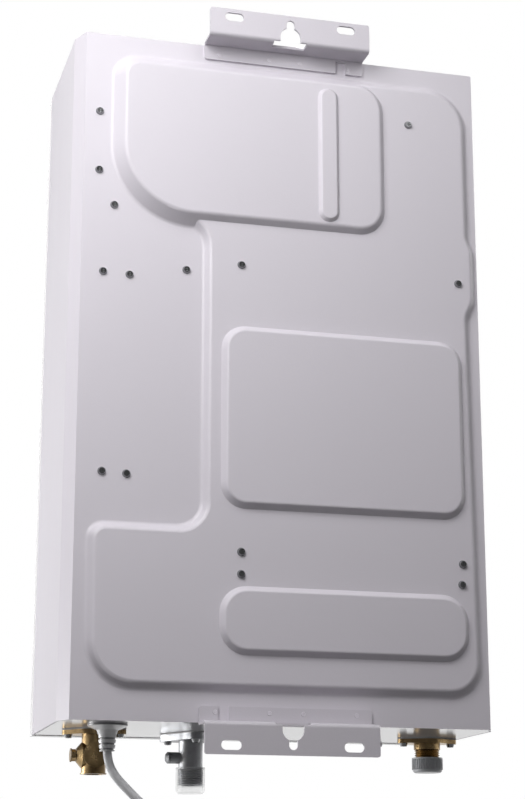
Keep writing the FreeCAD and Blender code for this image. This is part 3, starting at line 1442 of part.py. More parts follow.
def flue_and_fan():
    """The hood over the exchanger, its duct, the fan and the flue collar."""
    wall = "fan_steel"
    hood = box(
        "hood_outside", ("core_left", "core_right"), ("core_fore", "back_inside - duct_gap"),
        ("hood_low", "hood_low + hood_height"),
    )
    duct = box(
        "duct_outside", ("duct_left", "duct_left + duct_width"),
        ("fan_rear", "back_inside - duct_gap"), ("hood_low", "base + duct_top"),
    )
    hood_room = box(
        "hood_inside", (f"core_left + {wall}", f"core_right - {wall}"),
        (f"core_fore + {wall}", f"back_inside - duct_gap - {wall}"),
        (f"hood_low + {wall}", f"hood_low + hood_height - {wall}"),
    )
    duct_room = box(
        "duct_inside", (f"duct_left + {wall}", f"duct_left + duct_width - {wall}"),
        (f"fan_rear + {wall}", f"back_inside - duct_gap - {wall}"),
        (f"hood_low + {wall}", f"base + duct_top - {wall}"),
    )
    hood_mouth = box(
        "hood_mouth", (f"core_left + {wall}", f"core_right - {wall}"),
        (f"core_fore + {wall}", f"core_rear - {wall}"), (f"hood_low - {wall}", f"hood_low + 2 * {wall}"),
    )
    eye = rod(
        "duct_eye", "eye_radius", "4 * fan_steel", "-fan_across", "fan_rear - 2 * fan_steel",
        "fan_high", "y",
    )
    sub_part(
        cut("flue_hood", fuse("hood_walls", hood, duct), hood_room, duct_room, hood_mouth, eye),
        "flue_hood",
    )
    scroll = rod(
        "scroll_outside", "scroll_radius", "fan_width", "-fan_across", "fan_fore", "fan_high", "y"
    )
    outlet = box(
        "outlet_outside", ("outlet_left", "outlet_left + outlet_width"),
        ("fan_fore", "fan_rear"), ("fan_high", "top - steel - seam_gap"),
    )
    scroll_room = rod(
        "scroll_inside", f"scroll_radius - {wall}", f"fan_width - 2 * {wall}", "-fan_across",
        f"fan_fore + {wall}", "fan_high", "y",
    )
    outlet_room = box(
        "outlet_inside", (f"outlet_left + {wall}", f"outlet_left + outlet_width - {wall}"),
        (f"fan_fore + {wall}", f"fan_rear - {wall}"), ("fan_high", "top"),
    )
    shaft_hole = rod(
        "shaft_hole", "shaft_radius + fitting_gap", "4 * fan_steel", "-fan_across",
        "fan_fore - 2 * fan_steel", "fan_high", "y",
    )
    inlet = rod(
        "scroll_eye", "eye_radius", "4 * fan_steel", "-fan_across", "fan_rear - 2 * fan_steel",
        "fan_high", "y",
    )
    sub_part(
        cut(
            "fan_housing", fuse("scroll_walls", scroll, outlet), scroll_room, outlet_room,
            shaft_hole, inlet,
        ),
        "fan_housing",
    )
    fan_wheel()
    sub_part(
        rod(
            "motor_shaft", "shaft_radius", "shaft_inside + shaft_outside", "-fan_across",
            "fan_fore - shaft_inside", "fan_high", "y",
        ),
        "motor_shaft",
    )
    bore = "shaft_radius + turn_gap"
    depth = "shaft_inside + face_gap"
    motor = turned(
        "motor",
        [
            (bore, "0"), ("motor_radius", "0"), ("motor_radius", "motor_length * 0.8"),
            ("motor_radius * 0.75", "motor_length"), ("0", "motor_length"), ("0", depth),
            (bore, depth),
        ],
        "-fan_across", "fan_fore", "fan_high", "-y",
    )
    sub_part(motor, "fan_motor")
    plate = box(
        "collar_plate", ("-flue_across - flue_plate / 2", "-flue_across + flue_plate / 2"),
        ("fan_mid - flue_plate / 2", "fan_mid + flue_plate / 2"), ("top", "top + flue_plate_thick"),
    )
    pipe_outside = rod(
        "collar_pipe", "flue_radius", "flue_height", "-flue_across", "fan_mid", "top"
    )
    pipe_inside = rod(
        "collar_bore", "flue_radius - flue_wall", "flue_height + 2 * steel", "-flue_across",
        "fan_mid", "top - steel",
    )
    holes = [
        rod(
            f"collar_hole{number}", "tapper_radius + screw_gap", "flue_plate_thick + 2 * steel",
            x, y, "top - steel",
        )
        for number, (x, y) in enumerate(collar_screw_sites())
    ]
    sub_part(
        cut("flue_collar", fuse("collar_walls", plate, pipe_outside), pipe_inside, *holes),
        "flue_collar",
    )


def fan_wheel():
    """The fan wheel: plate, ring of blades, front ring and hub."""
    body = new_body("fan_impeller")
    pad(body, circle_sketch(body, "wheel_plate", "XY_Plane", "0", "0", "wheel_radius"),
        "wheel_plate")
    pad(body, circle_sketch(body, "wheel_hub", "XY_Plane", "0", "0", "2 * shaft_radius"),
        "shaft_outside - wheel_setback")
    ring = circle_sketch(
        body, "wheel_rim", "XY_Plane", "0", "0", "wheel_radius", "wheel_width - wheel_plate"
    )
    blade = []
    middle = "(wheel_radius - blade_length / 2)"
    for along, across in ((-1, -1), (1, -1), (1, 1), (-1, 1)):
        half_long = f"({along}) * blade_length / 2"
        half_thick = f"({across}) * blade_thick / 2"
        blade.append(
            (f"{middle} + {half_long} * cos(blade_tilt) - {half_thick} * sin(blade_tilt)",
             f"{half_long} * sin(blade_tilt) + {half_thick} * cos(blade_tilt)")
        )
    sketch = polygon_sketch(body, "wheel_blade", "XY_Plane", blade)
    around(body, pad(body, sketch, "wheel_width"), "blade_count")
    pad(body, ring, "wheel_plate")
    eye = circle_sketch(body, "wheel_eye", "XY_Plane", "0", "0", "wheel_ring", "wheel_width")
    pocket(body, eye, "wheel_plate")
    bore = circle_sketch(body, "wheel_bore", "XY_Plane", "0", "0", "shaft_radius + fit_gap")
    pocket(body, bore, "3 * wheel_width", both_ways=True)
    place(body, "-fan_across", "fan_fore + wheel_setback", "fan_high", TURNS["y"])
    sub_part(body, "fan_impeller")


def screw_holes(name, numbers, depth="4 * bar_steel"):
    """Clearance holes for some of the back screws."""
    levels = {"flat": "back", "step": "back + step_height"}
    return [
        rod(
            f"{name}{number}", "tapper_radius + screw_gap", depth,
            BACK_SCREWS[number][0], levels[BACK_SCREWS[number][2]],
            f"base + {BACK_SCREWS[number][1]}", "-y",
        )
        for number in numbers
    ]


def inner_brackets():
    """The straps that carry the fan, and the crossbars that carry the heat exchanger."""
    sheet_y = ("back_inside - bar_steel", "back_inside")
    right = box(
        "strap_right", ("duct_left + duct_width", "strap_right"), sheet_y,
        ("base + strap_low", "base + strap_high"),
    )
    right_leg = box(
        "strap_right_leg", ("duct_left + duct_width", "duct_left + duct_width + bar_steel"),
        ("fan_rear", "back_inside"), ("base + strap_low", "base + strap_high"),
    )
    high = ("base + left_strap_level - tab_height / 2", "base + left_strap_level + tab_height / 2")
    left = box("strap_left", ("-left_strap_knee", "duct_left"), sheet_y, high)
    left_leg = box(
        "strap_left_leg", ("duct_left - bar_steel", "duct_left"), ("fan_rear", "back_inside"), high
    )
    knee = box(
        "strap_knee", ("-left_strap_knee", "-left_strap_knee + bar_steel"),
        ("back_inside - bar_steel", "step_inside"), high,
    )
    foot = box(
        "strap_foot", ("-left_strap_end", "-left_strap_knee + bar_steel"),
        ("step_inside - bar_steel", "step_inside"), high,
    )
    straps = group(
        "fan_straps",
        [fuse("right_strap", right, right_leg), fuse("left_strap", left, left_leg, knee, foot)],
    )
    sub_part(cut("fan_brackets", straps, *screw_holes("strap_hole", (0, 1, 2, 10))), "fan_brackets")
    pieces = []
    for name, level, height, reach in (
        ("upper", "upper_bar_level", "upper_bar_height", "core_rear"),
        ("lower", "lower_bar_level", "lower_bar_height", "core_rear - burner_inset"),
    ):
        span = (f"base + {level} - {height} / 2", f"base + {level} + {height} / 2")
        if name == "lower":
            leg_span = ("base + burner_low", span[1])
        else:
            leg_span = span
        bar = box(
            f"{name}_bar", ("bar_setback - half_width", "core_right + bar_reach"),
            ("step_inside - bar_steel", "step_inside"), span,
        )
        legs = [
            box(
                f"{name}_leg{number}", (place_x, f"{place_x} + bar_steel"),
                (reach, "step_inside"), leg_span,
            )
            for number, place_x in enumerate(
                ("core_left + leg_inset", "core_right - leg_inset - bar_steel")
            )
        ]
        pieces.append(fuse(f"{name}_crossbar", bar, *legs))
    bars = group("crossbars", pieces)
    sub_part(
        cut("core_brackets", bars, *screw_holes("bar_hole", (8, 9, 11, 12, 13, 14))),
        "core_brackets",
    )


def heat_exchanger():
    """The copper box, its fins and its tubes."""
    ys = [f"core_middle + {2 - number} * tube_pitch" for number in range(5)]
    outside = box(
        "copper_outside", ("core_left", "core_right"), ("core_fore", "core_rear"),
        ("base + exchanger_low", "hood_low"),
    )
    inside = box(
        "copper_inside", ("core_left + copper", "core_right - copper"),
        ("core_fore + copper", "core_rear - copper"),
        ("base + exchanger_low - copper", "hood_low + copper"),
    )
    holes = [
        rod(
            f"tube_hole{number}", "tube_radius + fit_gap", "core_width + 4 * copper",
            "core_left - 2 * copper", y, "tube_high", "x",
        )
        for number, y in enumerate(ys)
    ]
    electrode_holes = [
        rod(
            f"electrode_hole{number}", "electrode_radius + fitting_gap", "4 * copper", x,
            "core_fore - 2 * copper", "base + electrode_level", "y",
        )
        for number, x in enumerate(electrode_places())
    ]
    sub_part(
        cut("exchanger_shell", outside, inside, *holes, *electrode_holes), "exchanger_shell"
    )
    start = "-core_across - (fin_count - 1) * fin_pitch / 2 - fin_thick / 2"
    fins = [
        box(
            f"fin{number}",
            (f"{start} + {number} * fin_pitch", f"{start} + {number} * fin_pitch + fin_thick"),
            ("core_fore + copper + face_gap", "core_rear - copper - face_gap"),
            ("tube_high - fin_height / 2", "tube_high + fin_height / 2"),
        )
        for number in range(int(value("fin_count")))
    ]
    fin_holes = [
        rod(
            f"fin_hole{number}", "tube_radius + fit_gap", "core_width", "core_left", y,
            "tube_high", "x",
        )
        for number, y in enumerate(ys)
    ]
    sub_part(cut("exchanger_fins", group("plain_fins", fins), *fin_holes), "exchanger_fins")
    spots = []
    ends = ("core_right + tube_reach", "core_left - tube_reach")
    for number, y in enumerate(ys):
        first, last = ends if number % 2 == 0 else ends[::-1]
        near = first if number == 0 else f"{first} {'+' if first == ends[0] else '-'} tube_pitch / 2"
        far = last if number == 4 else f"{last} {'+' if last == ends[0] else '-'} tube_pitch / 2"
        spots += [point(near, y, "tube_high"), point(far, y, "tube_high")]
    sub_part(
        pipe("exchanger_tubes", spots, "tube_radius", "pipe_radius + fitting_gap", "tube_pitch / 2"),
        "exchanger_tubes",
    )


def pipe(name, spots, outer, inner, bend):
    """A hollow pipe along straight runs and bends."""
    bends = [value(bend)] * (len(spots) - 2)
    solid = tube_along(spots, value(outer), bends)[0]
    hollow = tube_along(spots, value(inner), bends)[0]
    return made(name, solid.cut(hollow))


def electrode_places():
    return [f"-core_across + ({side}) * electrode_step / 2" for side in (-1, 1)]


def burner():
    """The burner frame, its bars, the gas manifold and its nozzles."""
    left = "core_left + burner_inset"
    right = "core_right - burner_inset"
    fore = "core_fore + burner_inset"
    rear = "core_rear - burner_inset"
    low = "base + burner_low"
    outside = box("frame_outside", (left, right), (fore, rear), (low, "base + exchanger_low"))
    inside = box(
        "frame_inside", (f"{left} + burner_wall", f"{right} - burner_wall"),
        (f"{fore} + burner_wall", f"{rear} - burner_wall"),
        (f"{low} - burner_wall", "base + exchanger_low + burner_wall"),
    )
    rails = [
        box(name, (left, right), deep, (low, f"{low} + bar_rise"))
        for name, deep in (
            ("front_rail", (fore, f"{fore} + rail_depth")),
            ("rear_rail", (f"{rear} - rail_depth", rear)),
        )
    ]
    count = int(value("bar_count"))
    middles = [f"-core_across + ({number - (count - 1) / 2}) * bar_pitch" for number in range(count)]
    level = f"{low} + bar_rise + throat_rise"
    openings = [
        rod(
            f"frame_throat{number}", "throat_radius + 2 * fitting_gap", "4 * burner_wall", x,
            f"{fore} - burner_wall", level, "y",
        )
        for number, x in enumerate(middles)
    ]
    walls = cut("frame_walls", outside, inside)
    sub_part(cut("burner_frame", fuse("frame_rails", walls, *rails), *openings), "burner_frame")
    bars = []
    for number, x in enumerate(middles):
        deep = (f"{fore} + burner_wall + face_gap", f"{rear} - burner_wall - face_gap")
        foot = f"{low} + bar_rise"
        solid = box(
            f"bar{number}", (f"{x} - bar_thick / 2", f"{x} + bar_thick / 2"), deep,
            (foot, f"{foot} + bar_height"),
        )
        flame_slot = box(
            f"bar_slot{number}", (f"{x} - bar_port / 2", f"{x} + bar_port / 2"),
            (f"{deep[0]} + bar_thick", f"{deep[1]} - bar_thick"),
            (f"{foot} + bar_height - bar_port_depth", f"{foot} + bar_height + burner_wall"),
        )
        throat = rod(
            f"bar_throat{number}", "throat_radius", "throat_depth", x,
            f"{deep[0]} - burner_wall", level, "y",
        )
        bars.append(cut(f"burner_bar{number}", solid, flame_slot, throat))
    sub_part(group("burner_bars", bars), "burner_bars")
    face = "core_fore - manifold_gap"
    wide = (f"{left}", f"{right}")
    tube = box(
        "manifold_outside", wide, (f"{face} - manifold_size", face),
        (f"{level} - manifold_size / 2", f"{level} + manifold_size / 2"),
    )
    hollow = box(
        "manifold_inside", (f"{left} + manifold_wall", f"{right} + manifold_wall"),
        (f"{face} - manifold_size + manifold_wall", f"{face} - manifold_wall"),
        (f"{level} - manifold_size / 2 + manifold_wall", f"{level} + manifold_size / 2 - manifold_wall"),
    )
    outlets = [
        rod(
            f"manifold_outlet{number}", "nozzle_tip", "4 * manifold_wall", x,
            f"{face} + manifold_wall", level, "-y",
        )
        for number, x in enumerate(middles)
    ]
    sub_part(cut("gas_manifold", tube, hollow, *outlets), "gas_manifold")
    nozzles = []
    for number, x in enumerate(middles):
        tip = cone(f"nozzle{number}", "nozzle_radius", "nozzle_tip", "nozzle_length", x, face, level, "y")
        hole = rod(
            f"nozzle_hole{number}", "nozzle_hole", "nozzle_length + 2 * steel", x,
            f"{face} - steel", level, "y",
        )
        nozzles.append(cut(f"gas_nozzle{number}", tip, hole))
    sub_part(group("gas_nozzles", nozzles), "gas_nozzles")


def rounded_block(name, across, deep, high, radius):
    """A block with its four upright edges rounded."""
    body = new_body(name)
    corners = [
        (across[0], deep[0]), (across[1], deep[0]), (across[1], deep[1]), (across[0], deep[1]),
    ]
    sketch = polygon_sketch(body, name + "_outline", "XY_Plane", corners, high[0])
    pad(body, sketch, f"({high[1]}) - ({high[0]})")
    doc.recompute()
    upright = edges_where(body.Tip.Shape, lambda b: b.ZLength > 1 and b.XLength < 1e-3 and b.YLength < 1e-3)
    dressed(body, "Fillet", upright, radius)
    return body


def gas_train():
    """The gas valve with its two coils, and the pipe to the manifold."""
    block = rounded_block(
        "valve_block", ("gas_across - valve_width / 2", "gas_across + valve_width / 2"),
        ("gas_y - valve_depth / 2", "gas_y + valve_depth / 2"), ("floor", "floor + valve_height"),
        "block_round",
    )
    socket = rod(
        "valve_socket", "gas_body + fitting_gap", "spigot_height - steel + face_gap + steel",
        "gas_across", "gas_y", "floor - steel",
    )
    high = "floor + valve_height"
    outlet_x = "gas_across + outlet_step"
    port = rod(
        "valve_port", "gas_pipe_radius + fitting_gap", "port_depth + steel", outlet_x, "gas_y",
        f"{high} - port_depth",
    )
    threads = [
        rod(
            f"valve_thread{number}", "machine_radius + screw_gap", "machine_length", x, y, "base"
        )
        for number, (x, y) in enumerate(flange_screw_sites()[4:])
    ]
    sub_part(cut("gas_valve_body", block, socket, port, *threads), "gas_valve_body")
    level = "base + main_coil_level"
    side = "gas_across + valve_width / 2"
    for label, plunger, spot, axis in (
        ("main_solenoid", "main_plunger", (side, "gas_y", level), "x"),
        ("modulator_coil", "modulator_plunger", ("gas_across - modulator_step", "gas_y", high), "z"),
    ):
        end = "coil_length"
        shell = turned(
            label,
            [
                ("core_bore", "0"), ("coil_radius * 0.6", "0"), ("coil_radius * 0.6", "coil_cheek"),
                ("coil_radius", "coil_cheek"), ("coil_radius", "2 * coil_cheek"),
                ("coil_radius - coil_cheek / 2", "2 * coil_cheek"),
                ("coil_radius - coil_cheek / 2", f"{end} - 2 * coil_cheek"),
                ("coil_radius", f"{end} - 2 * coil_cheek"), ("coil_radius", f"{end} - coil_cheek"),
                ("core_bore + plunger_cap", f"{end} - coil_cheek"),
                ("core_bore + plunger_cap", end), ("0", end), ("0", f"{end} - plunger_cap"),
                ("core_bore", f"{end} - plunger_cap"),
            ],
            *spot, axis,
        )
        sub_part(shell, label)
        moved = list(spot)
        letter = "xyz".index(axis)
        moved[letter] = f"{spot[letter]} + face_gap"
        sub_part(
            rod(plunger, "core_bore - plunger_gap", "plunger_length", *moved, axis), plunger
        )
    manifold_y = "core_fore - manifold_gap - manifold_size / 2"
    manifold_z = "base + burner_low + bar_rise + throat_rise"
    spots = [
        point(outlet_x, "gas_y", f"{high} - port_depth + face_gap"),
        point(outlet_x, "gas_y", manifold_z),
        point(outlet_x, manifold_y, manifold_z),
        point("core_right - burner_inset - port_depth / 2", manifold_y, manifold_z),
    ]
    sub_part(
        pipe("gas_pipe", spots, "gas_pipe_radius", "gas_pipe_radius - pipe_wall", "pipe_bend"),
        "gas_pipe",
    )


def water_side():
    """The flow sensor with its rotor, and the two water pipes with what is on them."""
    sensor_top = "floor + sensor_height"
    shell = turned(
        "sensor_shell",
        [
            ("sensor_bore", "0"), ("sensor_radius", "0"),
            ("sensor_radius", "sensor_height - neck_height"),
            ("sensor_radius * 0.75", "sensor_height - neck_height"),
            ("sensor_radius * 0.75", "sensor_height"), ("pipe_radius + fitting_gap", "sensor_height"),
            ("pipe_radius + fitting_gap", "sensor_height - neck_height"),
            ("sensor_bore", "sensor_height - neck_height"),
        ],
        "cold_across", "cold_y", "floor",
    )
    middle = "base + rotor_level"
    pieces = [shell]
    for name, foot in (
        ("lower", f"{middle} - rotor_height / 2 - face_gap - rotor_pin_length"),
        ("upper", f"{middle} + rotor_height / 2 + face_gap"),
    ):
        span = (foot, f"{foot} + rotor_pin_length")
        reach = "(sensor_bore + sensor_radius) / 2"
        pieces += [
            rod(f"{name}_hub", "spider_hub", "rotor_pin_length", "cold_across", "cold_y", foot),
            box(
                f"{name}_spider_x", (f"cold_across - {reach}", f"cold_across + {reach}"),
                ("cold_y - spider_bar / 2", "cold_y + spider_bar / 2"), span,
            ),
            box(
                f"{name}_spider_y", ("cold_across - spider_bar / 2", "cold_across + spider_bar / 2"),
                (f"cold_y - {reach}", f"cold_y + {reach}"), span,
            ),
        ]
    pin_hole = rod(
        "rotor_pin_hole", "rotor_pin + turn_gap",
        "rotor_height + 2 * face_gap + 2 * rotor_pin_length + 2 * steel", "cold_across", "cold_y",
        f"{middle} - rotor_height / 2 - face_gap - rotor_pin_length - steel",
    )
    sub_part(cut("flow_sensor_body", fuse("sensor_walls", *pieces), pin_hole), "flow_sensor_body")
    body = new_body("flow_rotor")
    pad(body, circle_sketch(body, "rotor_hub", "XY_Plane", "0", "0", "rotor_hub"), "rotor_height", True)
    pad(
        body, circle_sketch(body, "rotor_pins", "XY_Plane", "0", "0", "rotor_pin"),
        "rotor_height + 2 * rotor_pin_length", True,
    )
    blade = [
        ("rotor_hub / 2", "-rotor_blade / 2"), ("rotor_radius", "-rotor_blade / 2"),
        ("rotor_radius", "rotor_blade / 2"), ("rotor_hub / 2", "rotor_blade / 2"),
    ]
    sketch = polygon_sketch(body, "rotor_blade", "XY_Plane", blade)
    around(body, pad(body, sketch, "rotor_height - plastic", True), "rotor_blades")
    sub_part(place(body, "cold_across", "cold_y", middle), "flow_rotor")
    first_tube = "core_middle + 2 * tube_pitch"
    last_tube = "core_middle - 2 * tube_pitch"
    spots = [
        point("cold_across", "cold_y", f"{sensor_top} - neck_height + face_gap"),
        point("cold_across", "cold_y", "tube_high"),
        point("core_right + cold_turn_in", first_tube, "tube_high"),
        point("core_right + tube_reach - joint_depth", first_tube, "tube_high"),
    ]
    sub_part(
        pipe("cold_pipe", spots, "pipe_radius", "pipe_radius - pipe_wall", "pipe_bend"), "cold_pipe"
    )
    drop_x = "core_left - tube_reach - pipe_bend"
    spots = [
        point("core_left - tube_reach + joint_depth", last_tube, "tube_high"),
        point(drop_x, last_tube, "tube_high"),
        point(drop_x, last_tube, "base + hot_knee_high"),
        point("-hot_across", "hot_y", "base + hot_knee_low"),
        point("-hot_across", "hot_y", "base + spigot_height - joint_depth"),
    ]
    sub_part(
        pipe("hot_pipe", spots, "pipe_radius", "pipe_radius - pipe_wall", "pipe_bend"), "hot_pipe"
    )
    clip_half = "(pipe_radius + 2 * plastic)"
    clip = box(
        "thermistor_block", (f"{drop_x} - {clip_half}", f"{drop_x} + {clip_half}"),
        (f"{last_tube} - {clip_half}", f"{last_tube} + {clip_half}"),
        ("base + thermistor_level", "base + thermistor_level + thermistor_height"),
    )
    clip_hole = rod(
        "thermistor_hole", "pipe_radius + fitting_gap", "2 * thermistor_height", drop_x,
        last_tube, "base + thermistor_level - thermistor_height / 2",
    )
    probe = rod(
        "thermistor_probe", "plastic * 1.5", "thermistor_height / 2", f"{drop_x} + {clip_half}",
        last_tube, "base + thermistor_level + thermistor_height / 2", "x",
    )
    sub_part(fuse("outlet_thermistor", cut("thermistor_clip", clip, clip_hole), probe), "outlet_thermistor")
    sub_part(
        turned(
            "cutout",
            [
                ("0", "0"), ("cutout_radius", "0"), ("cutout_radius", "cutout_height / 2"),
                ("cutout_radius * 0.6", "cutout_height / 2"), ("cutout_radius * 0.6", "cutout_height"),
                ("0", "cutout_height"),
            ],
            "core_right", "core_middle", "base + cutout_level", "x",
        ),
        "overheat_cutout",
    )


def controls():
    """The controller with its circuit board, transformer, igniter, electrodes and air switch."""
    left = "control_across - control_width / 2"
    right = "control_across + control_width / 2"
    fore = "back_inside - control_depth"
    low = "base + control_low"
    high = f"{low} + control_height"
    outside = box("control_outside", (left, right), (fore, "back_inside"), (low, high))
    inside = box(
        "control_inside", (f"{left} + plastic", f"{right} - plastic"),
        (f"{fore} - plastic", "back_inside - plastic"), (f"{low} + plastic", f"{high} - plastic"),
    )
    tabs = [
        box(
            name, ("control_across - control_tab", "control_across + control_tab"),
            ("back_inside - plastic", "back_inside"), span,
        )
        for name, span in (
            ("control_tab_low", (f"{low} - control_tab / 2", low)),
            ("control_tab_high", (high, f"{high} + control_tab / 1.4")),
        )
    ]
    board_y = "back_inside - plastic - board_rise"
    corner = "(plastic + 2 * board_thick)"
    posts = [
        rod(f"control_post{number}", "board_thick", "board_rise + plastic / 2", x, board_y, z, "y")
        for number, (x, z) in enumerate(
            (a, b) for a in (f"{left} + 2 * {corner}", f"{right} - 2 * {corner}")
            for b in (f"{low} + 2 * {corner}", f"{high} - 2 * {corner}")
        )
    ]
    shell = fuse("control_shell", cut("control_walls", outside, inside), *tabs, *posts)
    sub_part(
        cut("controller_box", shell, *screw_holes("control_hole", (3, 4, 5, 6))), "controller_box"
    )
    front = f"{board_y} - board_thick"
    board = box(
        "board_plate", (f"{left} + {corner}", f"{right} - {corner}"), (front, board_y),
        (f"{low} + {corner}", f"{high} - {corner}"),
    )
    parts = [board]
    for number, (x, z, wide, tall, deep) in enumerate(
        ((-14, 26, 16, 20, 14), (8, 24, 20, 15, 15), (-14, 60, 15, 12, 12), (10, 58, 14, 14, 4),
         (0, 92, 26, 12, 9), (-14, 118, 18, 9, 8), (12, 118, 18, 9, 8))
    ):
        parts.append(
            box(
                f"board_part{number}",
                (f"control_across + ({x}) - {wide} / 2", f"control_across + ({x}) + {wide} / 2"),
                (f"{front} - {deep}", front), (f"{low} + {z} - {tall} / 2", f"{low} + {z} + {tall} / 2"),
            )
        )
    for number, (x, z, deep) in enumerate(((16, 40, 18), (-20, 42, 14), (18, 78, 12))):
        parts.append(
            rod(
                f"board_can{number}", "rotor_hub + plastic", f"{deep}", f"control_across + ({x})",
                front, f"{low} + {z}", "-y",
            )
        )
    sub_part(fuse("control_board", *parts), "control_board")
    core_y = ("back_inside - transformer_depth", "back_inside - transformer_gap")
    wide = ("control_across - transformer_width / 2", "control_across + transformer_width / 2")
    span = (f"{low} - transformer_height", low)
    laminations = box("transformer_core", wide, core_y, span)
    winding = box(
        "transformer_winding",
        ("control_across - transformer_width / 4", "control_across + transformer_width / 4"),
        (f"{core_y[0]} - 2 * plastic", core_y[1]),
        (f"{span[0]} + 2 * plastic", f"{span[1]} - 2 * plastic"),
    )
    sub_part(fuse("transformer", laminations, winding), "transformer")
    igniter_x = ("igniter_across - igniter_width / 2", "igniter_across + igniter_width / 2")
    igniter = rounded_block(
        "igniter_block", igniter_x, ("back_inside - igniter_depth", "back_inside"),
        ("base + igniter_low", "base + igniter_low + igniter_height"), "block_round / 2",
    )
    igniter_tab = box(
        "igniter_tab", (f"{igniter_x[0]} - control_tab / 2", f"{igniter_x[0]} + block_round"),
        ("back_inside - plastic", "back_inside"),
        ("base + igniter_low - control_tab / 2", "base + igniter_low + block_round"),
    )
    leads = [
        rod(
            f"igniter_post{number}", "rotor_hub", "2 * rotor_hub",
            f"igniter_across {side} igniter_width / 4", "back_inside - igniter_depth / 2",
            "base + igniter_low + igniter_height",
        )
        for number, side in enumerate("-+")
    ]
    sub_part(
        cut("spark_igniter", fuse("igniter_walls", igniter, igniter_tab, *leads),
            *screw_holes("igniter_hole", (7,))),
        "spark_igniter",
    )
    electrodes = []
    for number, x in enumerate(electrode_places()):
        level = "base + electrode_level"
        ceramic = rod(
            f"ceramic{number}", "electrode_radius", "2 * electrode_reach", x,
            "core_fore - electrode_reach", level, "y",
        )
        flange = rod(
            f"electrode_flange{number}", "2 * electrode_radius", "copper", x,
            "core_fore - copper", level, "y",
        )
        wire = rod(
            f"electrode_wire{number}", "electrode_radius / 4", "electrode_reach", x,
            "core_fore + electrode_reach", level, "y",
        )
        electrodes.append(fuse(f"electrode{number}", ceramic, flange, wire))
    sub_part(group("electrodes", electrodes), "electrodes")
    sub_part(
        turned(
            "air_switch",
            [
                ("0", "0"), ("switch_radius * 0.8", "0"), ("switch_radius * 0.8", "switch_depth * 0.35"),
                ("switch_radius", "switch_depth * 0.35"), ("switch_radius", "switch_depth * 0.6"),
                ("switch_radius * 0.8", "switch_depth * 0.6"), ("switch_radius * 0.5", "switch_depth"),
                ("0", "switch_depth"),
            ],
            "switch_across", "back_inside - bar_steel", "base + switch_level", "-y",
        ),
        "pressure_switch",
    )


def mains_lead():
    """The gland, the lead, its coil and tail, the tie and the plug."""
    grooves = [("gland_sleeve", "-gland_dome_drop")]
    for number in range(3):
        way = f"{number + 0.6} * gland_groove_pitch"
        foot = f"-gland_dome_drop - {way}"
        outer = f"gland_sleeve - gland_taper * {way}"
        grooves += [
            (outer, foot), (f"{outer} - gland_groove", foot),
            (f"{outer} - gland_groove", f"{foot} - gland_groove_width"),
            (outer, f"{foot} - gland_groove_width"),
        ]
    tip = "gland_sleeve - gland_taper * (gland_length - gland_dome_drop)"
    seat = "cord_radius + cord_seat_gap"
    profile = [
        ("0", "gland_stub_height"), ("gland_stub", "gland_stub_height"), ("gland_stub", "0"),
        ("gland_plate", "0"), ("gland_plate", "-gland_rim"), ("gland_dome", "-gland_plate_height"),
        *grooves, (tip, "-gland_length"), (seat, "-gland_length"),
        (seat, "-gland_length + gland_socket"), ("0", "-gland_length + gland_socket"),
    ]
    sub_part(turned("gland", profile, "cord_across", "cord_y", "base"), "cord_gland")
    radius = value("cord_radius")
    start = point("cord_across", "cord_y", "base - gland_length + gland_socket")
    spots = [start + Vector(*step) for step in LEAD_STEPS]
    bends = smooth_bends(spots)
    lead, length = tube_along(spots, radius, bends)
    report_tube("power_cord", lead, length, radius, bends)
    sub_part(made("power_cord", lead), "power_cord")
    middle = spots[-1] - Vector(0, 0, value("coil_outer"))
    coil, length, arcs = coiled(middle, radius)
    report_tube("cord_coil", coil, length, radius, [arc.Curve.Radius for arc in arcs])
    print("cord_coil least gap to itself", round(least_gap(arcs, radius), 3))
    sub_part(made("cord_coil", coil), "cord_coil")
    tail_start = arcs[-1].valueAt(arcs[-1].LastParameter)
    spots = [tail_start + Vector(*step) for step in TAIL_STEPS]
    bends = smooth_bends(spots)
    tail, length = tube_along(spots, radius, bends)
    report_tube("cord_tail", tail, length, radius, bends)
    sub_part(made("cord_tail", tail), "cord_tail")
    coil_tie(middle)
    plug(spots[-1])


def report_tube(name, solid, length, radius, bends):
    section = math.pi * radius ** 2
    print(
        name, "length", round(length, 1), "least bend radius", round(min(bends), 1),
        "volume over section times length", round(solid.Volume / (section * length), 4),
    )


def coiled(middle, radius):
    """Two flat spirals, the outer turn first, joined by a half turn that climbs a layer."""
    inner = value("coil_inner")
    pitch = value("coil_pitch")
    layer = value("coil_layer")
    turns_in = 2.5
    turns_up = 0.5
    turns_out = 2.25

    def spot(turn):
        if turn <= turns_in:
            reach = inner + pitch * (turns_in - turn)
            climb = 0
        elif turn <= turns_in + turns_up:
            reach = inner
            climb = layer * (turn - turns_in) / turns_up
        else:
            reach = inner + pitch * (turn - turns_in - turns_up)
            climb = layer
        angle = 2 * math.pi * turn
        return middle + Vector(-reach * math.sin(angle), -climb, reach * math.cos(angle))

    step = 0.25
    count = round((turns_in + turns_up + turns_out) / step)
    spots = [spot(number * step) for number in range(count + 1)]
    ways = [Vector(-1, 0, 0)]
    for number in range(1, count):
        ways.append((spot(number * step + 0.02) - spot(number * step - 0.02)).normalize())
    ways.append(Vector(0, 0, -1))
    arcs = []
    for number in range(count):
        arcs += biarc(spots[number], ways[number], spots[number + 1], ways[number + 1])
    path = Part.Wire(arcs)
    ring = Part.Wire([Part.Circle(spots[0], ways[0], radius).toShape()])
    shell = Part.BRepOffsetAPI.MakePipeShell(path)
    shell.add(ring)
    shell.build()
    shell.makeSolid()
    return shell.shape(), path.Length, arcs


